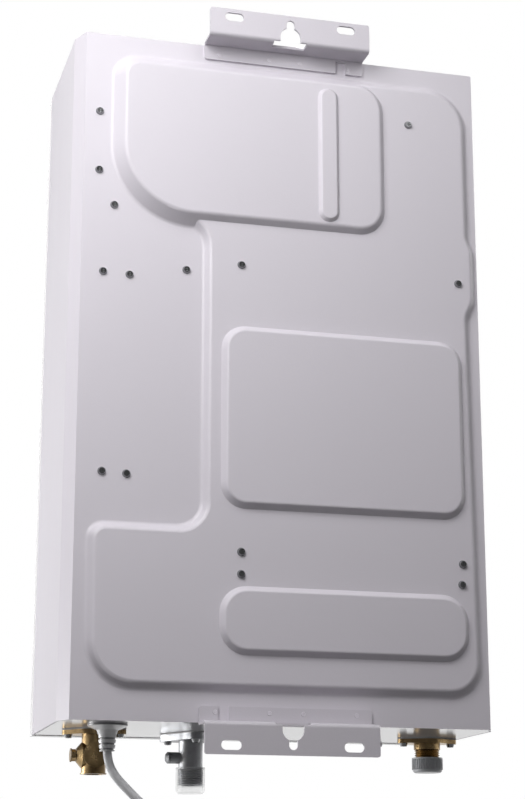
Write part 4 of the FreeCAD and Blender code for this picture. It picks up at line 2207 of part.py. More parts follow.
def least_gap(arcs, radius):
    """The smallest clearance between two turns of the coil, half a turn or more apart."""
    samples = []
    for arc in arcs:
        first, last = arc.FirstParameter, arc.LastParameter
        samples += [arc.valueAt(first + (last - first) * part / 12) for part in range(12)]
    apart = len(samples) // 10
    nearest = min(
        samples[i].distanceToPoint(samples[j])
        for i in range(len(samples)) for j in range(i + apart, len(samples))
    )
    return nearest - 2 * radius


def coil_tie(middle):
    """The flat band round the turns on one side of the coil."""
    radius = value("cord_radius")
    gap = value("tie_gap")
    wall = value("tie_wall")
    width = value("tie_width")
    near = value("coil_inner") - radius - gap
    far = value("coil_inner + coil_pitch * 1.75") + radius + gap
    deep = value("coil_layer") + radius + gap

    def ring(extra):
        corners = [
            (near - extra, radius + gap + extra, radius + extra),
            (far + extra, radius + gap + extra, radius + extra),
            (far + extra, -deep - extra, radius + extra),
            (near - extra, -deep - extra, radius + extra),
        ]
        wire = rounded_wire(
            corners, 0, lambda x, y: Vector(middle.x + x, middle.y + y, middle.z - width / 2)
        )
        return Part.Face(wire).extrude(Vector(0, 0, width))

    sub_part(made("cord_tie", ring(wall).cut(ring(0))), "cord_tie")


def plug(cord_end):
    """A plain round two-pin plug that hangs from the lead."""
    seat = "cord_radius + cord_seat_gap"
    top = "gland_socket"
    shoulder = f"{top} - plug_grip"
    foot = f"{shoulder} - plug_depth"
    x, y, z = cord_end
    body = turned(
        "plug_body",
        [
            ("0", "0"), (seat, "0"), (seat, top), ("plug_grip_radius", top),
            ("plug_grip_radius * 1.5", f"{shoulder} + plug_edge"), ("plug_radius", shoulder),
            ("plug_radius", f"{foot} + plug_edge"), ("plug_radius - plug_edge", foot), ("0", foot),
        ],
        f"{x}", f"{y}", f"{z}",
    )
    pins = [
        rod(f"plug_pin{number}", "pin_radius", "pin_length + steel", f"{x} + ({side}) * pin_spacing / 2",
            f"{y}", f"{z} + {foot} + steel", "-z")
        for number, side in enumerate((-1, 1))
    ]
    sub_part(fuse("plug", body, *pins), "plug")


def main():
    sheet_metal()
    wall_bracket("top_bracket", 1)
    wall_bracket("bottom_bracket", -1)
    back_screws()
    case_screws()
    fittings()
    flue_and_fan()
    inner_brackets()
    heat_exchanger()
    burner()
    gas_train()
    water_side()
    controls()
    mains_lead()
    doc.recompute()
    broken = [
        item.Name for item in doc.Objects if "Invalid" in item.State or "Error" in item.State
    ]
    if broken:
        raise RuntimeError("broken: " + ", ".join(broken))
    os.makedirs("parts", exist_ok=True)
    for item in SUB_PARTS:
        shape = item.Shape
        if shape.isNull() or not shape.isValid():
            raise RuntimeError("bad shape: " + item.Label)
        Part.export([item], f"parts/{item.Label}.step")
    print(len(SUB_PARTS), "sub-parts written")


main()
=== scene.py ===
"""The look of a wall-hung tankless gas water heater, seen from its wall side."""

import math

import bpy
from bpy.props import FloatProperty, FloatVectorProperty, IntProperty, PointerProperty
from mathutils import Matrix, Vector


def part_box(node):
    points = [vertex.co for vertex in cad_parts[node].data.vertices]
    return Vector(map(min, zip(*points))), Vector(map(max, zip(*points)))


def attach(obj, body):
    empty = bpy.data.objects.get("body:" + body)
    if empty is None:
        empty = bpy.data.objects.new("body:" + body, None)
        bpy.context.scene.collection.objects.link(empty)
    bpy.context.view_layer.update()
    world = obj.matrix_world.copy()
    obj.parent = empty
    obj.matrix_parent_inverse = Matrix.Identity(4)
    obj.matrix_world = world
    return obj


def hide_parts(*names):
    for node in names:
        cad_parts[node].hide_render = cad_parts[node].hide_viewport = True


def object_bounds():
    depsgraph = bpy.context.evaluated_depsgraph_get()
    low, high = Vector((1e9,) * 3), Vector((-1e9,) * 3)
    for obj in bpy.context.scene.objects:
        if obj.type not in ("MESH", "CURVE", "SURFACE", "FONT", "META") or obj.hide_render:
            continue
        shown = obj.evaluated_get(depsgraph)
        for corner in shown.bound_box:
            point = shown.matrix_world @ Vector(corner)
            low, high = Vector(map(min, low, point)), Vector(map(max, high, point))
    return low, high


bl_info = {
    "name": "Tankless Water Heater Look",
    "version": (1, 0, 0),
    "blender": (4, 5, 0),
    "location": "View3D > Sidebar > Water Heater",
    "description": "Finishes, mains lead and studio for a wall-hung gas water heater",
    "category": "Object",
}

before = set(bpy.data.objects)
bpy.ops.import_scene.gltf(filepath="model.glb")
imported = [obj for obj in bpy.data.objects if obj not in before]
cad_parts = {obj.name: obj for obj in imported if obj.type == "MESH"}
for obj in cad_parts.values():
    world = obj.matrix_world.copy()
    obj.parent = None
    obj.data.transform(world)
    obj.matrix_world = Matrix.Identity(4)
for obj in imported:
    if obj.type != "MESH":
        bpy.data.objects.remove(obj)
CAD_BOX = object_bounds()
CASE_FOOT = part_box("rear_shell")[0][2]

# The case's flat back, the brackets' sheet, and the places of the spot welds on their tabs.
CASE_BACK = -0.022
TAB_STEEL = 0.002
WELD_ACROSS = (-0.0565, -0.0135, 0.0135, 0.0565)
WELD_HIGH = (-0.026, -0.570)

# A spot weld's form: its sides, the crown's width to the foot's, the widths of the ring and of the
# dish in it to the radius, and the dish's depth and its middle's rise to the height.
WELD_SIDES = 24
WELD_CROWN = 0.8
WELD_RING = 0.25
WELD_DISH = 0.2
WELD_DEPTH = 0.7
WELD_NUB = 0.3
SMOOTH_ANGLE = math.radians(50)

# The gas cap's cloudier bands, from its mouth and floor: where they end and where they are full.
CAP_BAND = (0.0012, 0.0008)

# The gland: its band of painted shade below the case's foot, its sleeve's top over its low end,
# the sleeve's radius there and its taper, and how deep under the sleeve's skin the grooves'
# painted shade begins.
GLAND_RIM_SHADE = (0.0018, 0.0013)
SLEEVE_TOP = 0.0125
SLEEVE_END = (0.0128, 0.0120)
SLEEVE_RADIUS = 0.0065
SLEEVE_TAPER = 0.1
GROOVE_SHADE = (-0.0002, 0.0004)

# The studio: the floor's size, what it shows the camera, and the strip of it, from back to front,
# over which its mirror image goes dim; the lamps' height to their width, the point that they face,
# and the second front lamp's share of the first one's power.
FLOOR_SIZE = 14.0
FLOOR_GLOW = 0.85
DIM_STRIP = (-0.3, 0.1)
LAMP_HEIGHT = 1.3
LAMP_AIM = Vector((0.0, -0.1, -0.3))
FRONT_SIDE_SHARE = 0.5

# The mains lead's own points, in metres: from its seat in the gland to the top of the coil, and
# from the coil's side down to the plug.
LEAD_POINTS = [
    (0.133, -0.053, -0.5915), (0.133, -0.053, -0.604), (0.1273, -0.053, -0.6162),
    (0.1167, -0.053, -0.6268), (0.1039, -0.054, -0.6387), (0.0871, -0.0556, -0.6482),
    (0.0695, -0.057, -0.654),
]
TAIL_POINTS = [
    (0.00555, -0.0652, -0.7245), (0.00055, -0.0652, -0.7485), (0.00055, -0.0652, -0.7705),
]
COIL_MIDDLE = Vector((0.052, -0.057, -0.7025))

# The coil's turns inwards, its half turn up to the second layer, and its turns outwards.
TURNS_IN = 2.5
TURNS_UP = 0.5
TURNS_OUT = 2.25


class Wire:
    """A socket of a material that can stand in a sum."""

    def __init__(self, finish, socket):
        self.finish = finish
        self.socket = socket

    def worked(self, operation, first, second):
        return self.finish.node("ShaderNodeMath", {"operation": operation}, {0: first, 1: second})

    def __add__(self, other):
        return self.worked("ADD", self, other)

    def __sub__(self, other):
        return self.worked("SUBTRACT", self, other)

    def __rsub__(self, other):
        return self.worked("SUBTRACT", other, self)

    def __mul__(self, other):
        return self.worked("MULTIPLY", self, other)



class Finish:
    """A material that is built one node at a time."""

    def __init__(self, name, **fixed):
        self.material = bpy.data.materials.new(name)
        self.material.use_nodes = True
        self.tree = self.material.node_tree
        self.surface = self.tree.nodes["Principled BSDF"]
        for socket, number in fixed.items():
            self.surface.inputs[socket.replace("_", " ")].default_value = number
        self.place = self.node("ShaderNodeTexCoord", output="Object")

    def node(self, kind, settings=None, inputs=None, output=0):
        """Add a node: its settings first, then the values or links of its sockets."""
        made = self.tree.nodes.new(kind)
        for name, setting in (settings or {}).items():
            setattr(made, name, setting)
        for socket, given in (inputs or {}).items():
            self.feed(made.inputs[socket], given)
        return Wire(self, made.outputs[output])

    def feed(self, socket, given):
        if isinstance(given, Wire):
            self.tree.links.new(given.socket, socket)
        else:
            socket.default_value = given

    def noise(self, scale, detail=3.0, stretch=(1, 1, 1)):
        """A noise whose pattern can be stretched along an axis."""
        spot = self.place
        if stretch != (1, 1, 1):
            spot = self.node("ShaderNodeMapping", None, {"Vector": spot, "Scale": stretch})
        return self.node(
            "ShaderNodeTexNoise", None, {"Vector": spot, "Scale": scale, "Detail": detail}
        )

    def ramp(self, given, low, high):
        """0 below low and 1 above high."""
        return self.node(
            "ShaderNodeMapRange", None, {"Value": given, "From Min": low, "From Max": high}
        )

    def mixed(self, factor, first, second):
        return self.node(
            "ShaderNodeMix", {"data_type": "RGBA"}, {0: factor, 6: first, 7: second}, 2
        )

    def colour(self, given):
        self.feed(self.surface.inputs["Base Color"], given)

    def roughness(self, given):
        self.feed(self.surface.inputs["Roughness"], given)

    def bump(self, height, distance, strength=1.0):
        self.feed(
            self.surface.inputs["Normal"],
            self.node(
                "ShaderNodeBump", None,
                {"Height": height, "Distance": distance, "Strength": strength}, "Normal",
            ),
        )


def rgba(colour, share=1.0):
    """A colour's share with full alpha."""
    return tuple(channel * share for channel in colour[:3]) + (1.0,)


def powder_paint(name, colour, roughness, peel=0.00004):
    """Stoved paint on steel: faint orange peel and a slow drift of tone."""
    paint = Finish(name, Specular_IOR_Level=0.5)
    drift = paint.noise(7.0, 2.0)
    fine = paint.noise(900.0, 2.0)
    smear = paint.noise(60.0, 4.0, (1, 1, 0.25))
    paint.colour(paint.mixed(drift * 0.6 + fine * 0.4, rgba(colour, 0.965), rgba(colour)))
    paint.roughness(smear * 0.10 + (roughness - 0.05))
    paint.bump(fine + paint.noise(320.0, 2.0) * 0.8, peel)
    return paint.material


def gloss_paint(name, colour, roughness):
    """Smooth stoved gloss: a slow drift of tone and hardly any texture."""
    paint = Finish(name, Specular_IOR_Level=0.5)
    drift = paint.noise(5.0, 2.0)
    fine = paint.noise(420.0, 2.0)
    paint.colour(paint.mixed(drift, rgba(colour, 0.97), rgba(colour)))
    paint.roughness(drift * 0.04 + fine * 0.02 + (roughness - 0.03))
    paint.bump(fine, 0.000004)
    return paint.material


def plated_steel(name, colour, roughness):
    """Zinc-plated or bright steel with rolling streaks and dull blooms."""
    metal = Finish(name, Metallic=1.0)
    bloom = metal.noise(90.0, 4.0)
    streak = metal.noise(240.0, 3.0, (1, 1, 0.08))
    metal.colour(metal.mixed(metal.ramp(bloom, 0.35, 0.65), rgba(colour, 0.88), rgba(colour)))
    metal.roughness(bloom * 0.18 + streak * 0.10 + (roughness - 0.14))
    metal.bump(streak, 0.00003)
    return metal.material


def cast_metal(name, colour, shade, roughness):
    """Cast and turned metal: granular skin and a few darker stains."""
    metal = Finish(name, Metallic=1.0)
    skin = metal.noise(700.0, 4.0)
    stain = metal.ramp(metal.noise(85.0, 5.0), 0.42, 0.68)
    metal.colour(metal.mixed(stain, rgba(colour), rgba(shade)))
    metal.roughness(skin * 0.18 + stain * 0.14 + (roughness - 0.1))
    metal.bump(skin, 0.00012)
    return metal.material


def moulded_plastic(name, colour, roughness):
    """Moulded plastic: fine spark-eroded grain and slight clouding."""
    plastic = Finish(name, Specular_IOR_Level=0.45)
    grainy = plastic.noise(1300.0, 2.0)
    cloud = plastic.noise(45.0, 3.0)
    plastic.colour(plastic.mixed(cloud, rgba(colour, 0.9), rgba(colour)))
    plastic.roughness(grainy * 0.12 + (roughness - 0.06))
    plastic.bump(grainy, 0.00006)
    return plastic.material


def clear_plastic(name, colour):
    """Clear polythene, a little cloudier at the cap's mouth and floor."""
    plastic = Finish(name, Specular_IOR_Level=0.5)
    low, high = (corner[2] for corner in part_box("gas_cap"))
    level = plastic.node("ShaderNodeSeparateXYZ", None, {0: plastic.place}, "Z")
    cloud = plastic.noise(160.0, 3.0)
    end, full = CAP_BAND
    mouth = plastic.ramp(level, high - end, high - full)
    floor = plastic.ramp(level, low + end, low + full)
    plastic.colour(plastic.mixed(cloud, rgba(colour, 0.94), rgba(colour)))
    plastic.roughness(cloud * 0.1 + 0.12)
    plastic.feed(
        plastic.surface.inputs["Alpha"], cloud * 0.08 + 0.11 + mouth * 0.25 + floor * 0.1
    )
    plastic.bump(plastic.noise(600.0, 2.0), 0.00004)
    return plastic.material


def gland_plastic(name, colour, shade):
    """Pale moulding with painted shade on its rim against the case and in its grooves."""
    plastic = Finish(name, Specular_IOR_Level=0.7)
    low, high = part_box("cord_gland")
    axis = Vector(((low[0] + high[0]) / 2, (low[1] + high[1]) / 2, 0.0))
    level = plastic.node("ShaderNodeSeparateXYZ", None, {0: plastic.place}, "Z")
    # Painted shade: the gland's top band, just under the case's foot, is darkened towards the
    # shade colour.
    rim_shade = plastic.ramp(level, CASE_FOOT - GLAND_RIM_SHADE[0], CASE_FOOT - GLAND_RIM_SHADE[1])
    flat = plastic.node(
        "ShaderNodeVectorMath", {"operation": "MULTIPLY"}, {0: plastic.place, 1: (1, 1, 0)}
    )
    reach = plastic.node(
        "ShaderNodeVectorMath", {"operation": "DISTANCE"}, {0: flat, 1: axis}, "Value"
    )
    sleeve = plastic.ramp(level, low[2] + SLEEVE_END[0], low[2] + SLEEVE_END[1])
    skin = SLEEVE_RADIUS - (low[2] + SLEEVE_TOP - level) * SLEEVE_TAPER
    # Painted shade: the sleeve's grooves are darkened towards the shade colour.
    groove_shade = plastic.ramp(skin - reach, *GROOVE_SHADE) * sleeve
    cloud = plastic.noise(60.0, 3.0)
    unshaded = plastic.mixed(cloud, rgba(colour, 0.93), rgba(colour))
    # Painted shade: the top band next to the case is mixed to a dark copy of the shade colour.
    rim_shaded = plastic.mixed(rim_shade, unshaded, rgba(shade, 0.3))
    # Painted shade in the grooves, over the painted shade of the top band.
    plastic.colour(plastic.mixed(groove_shade, rim_shaded, rgba(shade, 0.35)))
    plastic.roughness(cloud * 0.1 + 0.2)
    plastic.bump(plastic.noise(1300.0, 2.0), 0.00005)
    return plastic.material


def flex_jacket(name, colour):
    """The lead's PVC jacket: satin, with a faint lay of the cores below and light scuffs."""
    jacket = Finish(name, Specular_IOR_Level=0.42)
    scuff = jacket.ramp(jacket.noise(210.0, 5.0), 0.52, 0.74)
    fine = jacket.noise(1500.0, 2.0)
    jacket.colour(jacket.mixed(scuff, rgba(colour), rgba(colour, 1.12)))
    jacket.roughness(scuff * 0.16 + fine * 0.06 + 0.38)
    jacket.bump(fine + jacket.noise(160.0, 2.0) * 2.0, 0.00006)
    return jacket.material


def heat_tinted_copper(name, colour, roughness):
    """Copper with oxide clouds and brighter rubbed places."""
    copper = Finish(name, Metallic=1.0)
    oxide = copper.ramp(copper.noise(38.0, 6.0), 0.40, 0.66)
    rolled = copper.noise(420.0, 3.0, (0.1, 1, 1))
    dull = (colour[0] * 0.55, colour[1] * 0.5, colour[2] * 0.55)
    copper.colour(copper.mixed(oxide, rgba(colour), rgba(dull)))
    copper.roughness(oxide * 0.22 + rolled * 0.08 + (roughness - 0.08))
    copper.bump(rolled, 0.00004)
    return copper.material


def circuit_board(name, colour):
    """Green solder mask over tracks, with pale component marks."""
    board = Finish(name, Specular_IOR_Level=0.5)
    tracks = board.node(
        "ShaderNodeTexBrick", {"offset": 0.37, "squash": 0.6},
        {
            "Vector": board.node(
                "ShaderNodeMapping", None, {"Vector": board.place, "Rotation": (math.pi / 2, 0, 0)}
            ),
            "Scale": 160.0, "Mortar Size": 0.035, "Brick Width": 0.9, "Row Height": 0.28,
        }, "Fac",
    )
    mask = board.noise(500.0, 2.0)
    board.colour(board.mixed(tracks, rgba(colour), rgba(colour, 2.0)))
    board.roughness(mask * 0.1 + 0.3)
    board.bump(tracks, 0.00004)
    return board.material


def smoked_window(name, colour):
    """The display's smoked window, glossy with a faint ripple."""
    window = Finish(name, Specular_IOR_Level=0.6, Coat_Weight=0.5, Coat_Roughness=0.03)
    ripple = window.noise(30.0, 2.0)
    window.colour(window.mixed(ripple, rgba(colour, 0.8), rgba(colour, 1.3)))
    window.roughness(window.noise(700.0, 2.0) * 0.05 + 0.05)
    window.bump(ripple, 0.00002)
    return window.material


def dress(material, *nodes):
    """Give the solids' nodes a finish."""
    for node in nodes:
        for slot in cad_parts[node].material_slots:
            slot.material = material


def deselect():
    """Leave edit mode and select nothing."""
    if bpy.context.object and bpy.context.object.mode != "OBJECT":
        bpy.ops.object.mode_set(mode="OBJECT")
    bpy.ops.object.select_all(action="DESELECT")


class StageSettings(bpy.types.PropertyGroup):
    """Camera, floor and lamps."""

    camera_spot: FloatVectorProperty(
        name="Camera", description="Where the camera stands", subtype="XYZ", unit="LENGTH",
        default=(0.39714, 1.38976, -0.71387),
    )
    camera_turn: FloatVectorProperty(
        name="Camera turn", description="How the camera is turned", subtype="EULER",
        unit="ROTATION",
        default=(math.radians(105.0523), math.radians(-0.0032), math.radians(164.9868)),
    )
    lens: FloatProperty(
        name="Lens", description="Focal length over a 24 mm high frame", default=56.799
    )
    floor_drop: FloatProperty(
        name="Floor drop", description="Plug to the floor", unit="LENGTH", default=0.004
    )
    floor_colour: FloatVectorProperty(
        name="Floor", description="Colour of floor and backdrop", subtype="COLOR",
        default=(0.17, 0.17, 0.17),
    )
    top_power: FloatProperty(
        name="Top", description="Power of the lamp over the top bracket", unit="POWER", default=4.0
    )
    key_power: FloatProperty(
        name="Key", description="Power of the lamp beside the top bracket", unit="POWER",
        default=6.6,
    )
    fill_power: FloatProperty(
        name="Fill", description="Power of the lamp far to the right", unit="POWER", default=1.2
    )
    side_power: FloatProperty(
        name="Side", description="Power of the lamp low beside the case", unit="POWER",
        default=16.0,
    )
    front_power: FloatProperty(
        name="Front", description="Power of the lamp before the cover", unit="POWER",
        default=34.0,
    )
    sky: FloatProperty(name="Sky", description="Strength of the light all round", default=0.02)
    dim: FloatProperty(
        name="Dim side", description="What gloss mirrors of the room behind the camera",
        default=0.12,
    )


class PaintSettings(bpy.types.PropertyGroup):
    """Colours of the painted steel."""

    case: FloatVectorProperty(
        name="Case", description="Paint of the case and brackets", subtype="COLOR",
        default=(0.678, 0.645, 0.70),
    )
    base: FloatVectorProperty(
        name="Underside", description="Gloss paint of the bottom", subtype="COLOR",
        default=(0.65, 0.64, 0.67),
    )
    cover: FloatVectorProperty(
        name="Cover", description="Paint of the front cover", subtype="COLOR",
        default=(0.81, 0.80, 0.82),
    )
    roughness: FloatProperty(
        name="Roughness", description="Roughness of the case's paint", default=0.42
    )


class MetalSettings(bpy.types.PropertyGroup):
    """Colours of bare metal."""

    zinc: FloatVectorProperty(
        name="Zinc", description="Plated screws and inner sheet", subtype="COLOR",
        default=(0.66, 0.67, 0.69),
    )
    stainless: FloatVectorProperty(
        name="Stainless", description="Burner and flue", subtype="COLOR",
        default=(0.55, 0.55, 0.56),
    )
    brass: FloatVectorProperty(
        name="Brass", description="Water fittings", subtype="COLOR",
        default=(0.34, 0.24, 0.12),
    )
    brass_shade: FloatVectorProperty(
        name="Brass shade", description="Dull patches of the brass", subtype="COLOR",
        default=(0.17, 0.115, 0.055),
    )
    die_cast: FloatVectorProperty(
        name="Die casting", description="Gas inlet and valve", subtype="COLOR",
        default=(0.58, 0.59, 0.61),
    )
    copper: FloatVectorProperty(
        name="Copper", description="Heat exchanger and pipes", subtype="COLOR",
        default=(0.78, 0.42, 0.27),
    )


class PlasticSettings(bpy.types.PropertyGroup):
    """Colours of plastic and rubber."""

    clear_cap: FloatVectorProperty(
        name="Gas cap", description="Clear cap on the gas inlet", subtype="COLOR",
        default=(0.86, 0.87, 0.88),
    )
    grey_cap: FloatVectorProperty(
        name="Hot cap", description="Grey cap on the hot outlet", subtype="COLOR",
        default=(0.60, 0.61, 0.63),
    )
    gland: FloatVectorProperty(
        name="Gland", description="The lead's gland", subtype="COLOR",
        default=(0.94, 0.94, 0.95),
    )
    lead: FloatVectorProperty(
        name="Lead", description="Jacket of the mains lead", subtype="COLOR",
        default=(0.76, 0.76, 0.78),
    )
    black: FloatVectorProperty(
        name="Black", description="Black mouldings", subtype="COLOR", default=(0.035, 0.035, 0.04)
    )
    white: FloatVectorProperty(
        name="White", description="White mouldings", subtype="COLOR", default=(0.78, 0.78, 0.76)
    )
    seal: FloatVectorProperty(
        name="Seal", description="Gaskets", subtype="COLOR", default=(0.42, 0.42, 0.42)
    )
    board: FloatVectorProperty(
        name="Board", description="Solder mask", subtype="COLOR", default=(0.02, 0.12, 0.05)
    )
    window: FloatVectorProperty(
        name="Window", description="Smoked display window", subtype="COLOR",
        default=(0.02, 0.022, 0.026),
    )


class LeadSettings(bpy.types.PropertyGroup):
    """Sizes of the mains lead."""

    radius: FloatProperty(
        name="Radius", description="Radius of the lead", unit="LENGTH", default=0.0034
    )
    length: FloatProperty(
        name="Length", description="Length from gland to plug", unit="LENGTH", default=1.398
    )
    coil_inner: FloatProperty(
        name="Inner turn", description="Radius of the coil's inner turn", unit="LENGTH",
        default=0.028,
    )
    coil_pitch: FloatProperty(
        name="Pitch", description="Step between turns and layers", unit="LENGTH", default=0.0082
    )
    turn_points: IntProperty(
        name="Points", description="Points in one turn of the coil", default=16
    )


class WeldSettings(bpy.types.PropertyGroup):
    """Sizes of the spot welds on the brackets' tabs."""

    radius: FloatProperty(
        name="Radius", description="Radius of a spot weld", unit="LENGTH", default=0.0019
    )
    height: FloatProperty(
        name="Height", description="How far its rim stands out", unit="LENGTH", default=0.0003
    )
    sunk: FloatProperty(
        name="Sunk", description="How deep it sits in the sheet", unit="LENGTH", default=0.0001
    )


class HeaterSettings(bpy.types.PropertyGroup):
    """All settings of the heater's look."""

    stage: PointerProperty(type=StageSettings)
    paint: PointerProperty(type=PaintSettings)
    metal: PointerProperty(type=MetalSettings)
    plastic: PointerProperty(type=PlasticSettings)
    lead: PointerProperty(type=LeadSettings)
    weld: PointerProperty(type=WeldSettings)


def settings():
    return bpy.context.scene.water_heater


class HEATER_OT_stage(bpy.types.Operator):
    """Set up the camera, the floor, the sky and the lamps"""

    bl_idname = "heater.stage"
    bl_label = "Studio"

    def execute(self, context):
        stage = settings().stage
        scene = context.scene
        scene.view_settings.view_transform = "Standard"
        eye = bpy.data.cameras.new("photo_camera")
        eye.sensor_fit = "VERTICAL"
        eye.sensor_height = 24.0
        eye.lens = stage.lens
        camera = bpy.data.objects.new("photo_camera", eye)
        camera.location = stage.camera_spot
        camera.rotation_euler = stage.camera_turn
        scene.collection.objects.link(camera)
        scene.camera = camera
        self.lay_floor(stage)
        self.hang_lamps(stage)
        self.paint_sky(stage)
        return {"FINISHED"}

    def lay_floor(self, stage):
        deselect()
        level = CAD_BOX[0][2] - stage.floor_drop
        bpy.ops.mesh.primitive_plane_add(size=FLOOR_SIZE, location=(0, 0, level))
        floor = bpy.context.object
        floor.name = "studio_floor"
        bpy.ops.object.transform_apply(location=True, rotation=True, scale=True)
        finish = Finish("floor_paper", Specular_IOR_Level=0.1)
        paper = finish.noise(30.0, 3.0)
        colour = stage.floor_colour
        finish.colour(finish.mixed(paper, rgba(colour, 0.99), rgba(colour)))
        finish.roughness(paper * 0.1 + 0.8)
        path = finish.tree.nodes.new("ShaderNodeLightPath")
        mirrored = Wire(finish, path.outputs["Is Glossy Ray"])
        seen = Wire(finish, path.outputs["Is Camera Ray"])
        depth = finish.node("ShaderNodeSeparateXYZ", None, {0: finish.place}, "Y")
        near = finish.ramp(depth, *DIM_STRIP)
        glow = mirrored * (1 - near * (1 - stage.dim)) + seen * FLOOR_GLOW
        finish.feed(
            finish.surface.inputs["Emission Color"],
            finish.mixed(glow, (0, 0, 0, 1), (1, 1, 1, 1)),
        )
        finish.surface.inputs["Emission Strength"].default_value = 1.0
        floor.data.materials.append(finish.material)

    def hang_lamps(self, stage):
        side_share = stage.front_power * FRONT_SIDE_SHARE
        lamps = (
            ("top_lamp", (-0.3, 0.8, 0.7), 0.6, stage.top_power),
            ("key_lamp", (0.45, 0.49, 0.14), 0.48, stage.key_power),
            ("fill_lamp", (-1.0, 0.8, 0.3), 0.8, stage.fill_power),
            ("side_lamp", (0.95, -0.5, -0.85), 0.6, stage.side_power),
            ("front_lamp", (-0.5, -2.4, 0.9), 1.8, stage.front_power),
            ("front_side_lamp", (-1.9, -1.2, 0.5), 1.4, side_share),
        )
        for name, spot, size, power in lamps:
            lamp = bpy.data.lights.new(name, "AREA")
            lamp.shape = "RECTANGLE"
            lamp.size = size
            lamp.size_y = size * LAMP_HEIGHT
            lamp.energy = power
            holder = bpy.data.objects.new(name, lamp)
            holder.location = spot
            holder.rotation_euler = (LAMP_AIM - Vector(spot)).to_track_quat("-Z", "Y").to_euler()
            bpy.context.scene.collection.objects.link(holder)

    def paint_sky(self, stage):
        world = bpy.data.worlds.new("studio_sky")
        bpy.context.scene.world = world
        world.use_nodes = True
        nodes = world.node_tree.nodes
        links = world.node_tree.links
        ground = nodes["Background"]
        ground.inputs["Color"].default_value = (1, 1, 1, 1)
        path = nodes.new("ShaderNodeLightPath")
        seen = nodes.new("ShaderNodeMath")
        seen.operation = "MAXIMUM"
        links.new(path.outputs["Is Camera Ray"], seen.inputs[0])
        links.new(path.outputs["Is Transmission Ray"], seen.inputs[1])
        room = nodes.new("ShaderNodeTexCoord")
        axes = nodes.new("ShaderNodeSeparateXYZ")
        links.new(room.outputs["Generated"], axes.inputs[0])
        shade = nodes.new("ShaderNodeMapRange")
        shade.interpolation_type = "SMOOTHSTEP"
        for socket, number in (
            ("From Min", 0.3), ("From Max", 0.8), ("To Min", 1.0), ("To Max", stage.dim),
        ):
            shade.inputs[socket].default_value = number
        links.new(axes.outputs["Y"], shade.inputs["Value"])
        gloss = nodes.new("ShaderNodeMath")
        gloss.operation = "MULTIPLY"
        links.new(path.outputs["Is Glossy Ray"], gloss.inputs[0])
        links.new(shade.outputs[0], gloss.inputs[1])
        shown = nodes.new("ShaderNodeMath")
        shown.operation = "MAXIMUM"
        links.new(seen.outputs[0], shown.inputs[0])
        links.new(gloss.outputs[0], shown.inputs[1])
        strength = nodes.new("ShaderNodeMapRange")
        strength.inputs["To Min"].default_value = stage.sky
        links.new(shown.outputs[0], strength.inputs["Value"])
        links.new(strength.outputs[0], ground.inputs["Strength"])


class HEATER_OT_mains_lead(bpy.types.Operator):
    """Run the mains lead from its gland through the coil to the plug"""

    bl_idname = "heater.mains_lead"
    bl_label = "Mains lead"

    def execute(self, context):
        lead = settings().lead
        points = [Vector(spot) for spot in LEAD_POINTS]
        points += self.coil_points(lead)
        points += [Vector(spot) for spot in TAIL_POINTS]
        line = bpy.data.curves.new("mains_lead", "CURVE")
        line.dimensions = "3D"
        line.bevel_depth = lead.radius
        line.bevel_resolution = 6
        line.resolution_u = 6
        line.use_fill_caps = True
        spline = line.splines.new("NURBS")
        spline.points.add(len(points) - 1)
        for knot, spot in zip(spline.points, points):
            knot.co = (*spot, 1.0)
        spline.order_u = 3
        spline.use_endpoint_u = True
        piece = bpy.data.objects.new("mains_lead", line)
        context.scene.collection.objects.link(piece)
        line.materials.append(flex_jacket("lead_jacket", settings().plastic.lead))
        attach(piece, "case")
        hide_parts("power_cord", "cord_coil", "cord_tail")
        return {"FINISHED"}

    def coil_points(self, lead):
        """Points of the two-layer spiral, drawn out a little because the line cuts its corners."""
        count = round((TURNS_IN + TURNS_UP + TURNS_OUT) * lead.turn_points)
        swell = 1 / math.cos(math.pi / lead.turn_points)
        points = []
        for number in range(count + 1):
            turn = number / lead.turn_points
            climb = min(max((turn - TURNS_IN) / TURNS_UP, 0.0), 1.0) * lead.coil_pitch
            steps = TURNS_IN - turn if turn < TURNS_IN else max(turn - TURNS_IN - TURNS_UP, 0.0)
            reach = (lead.coil_inner + lead.coil_pitch * steps) * swell
            angle = 2 * math.pi * turn
            points.append(
                COIL_MIDDLE + Vector((-reach * math.sin(angle), -climb, reach * math.cos(angle)))
            )
        return points


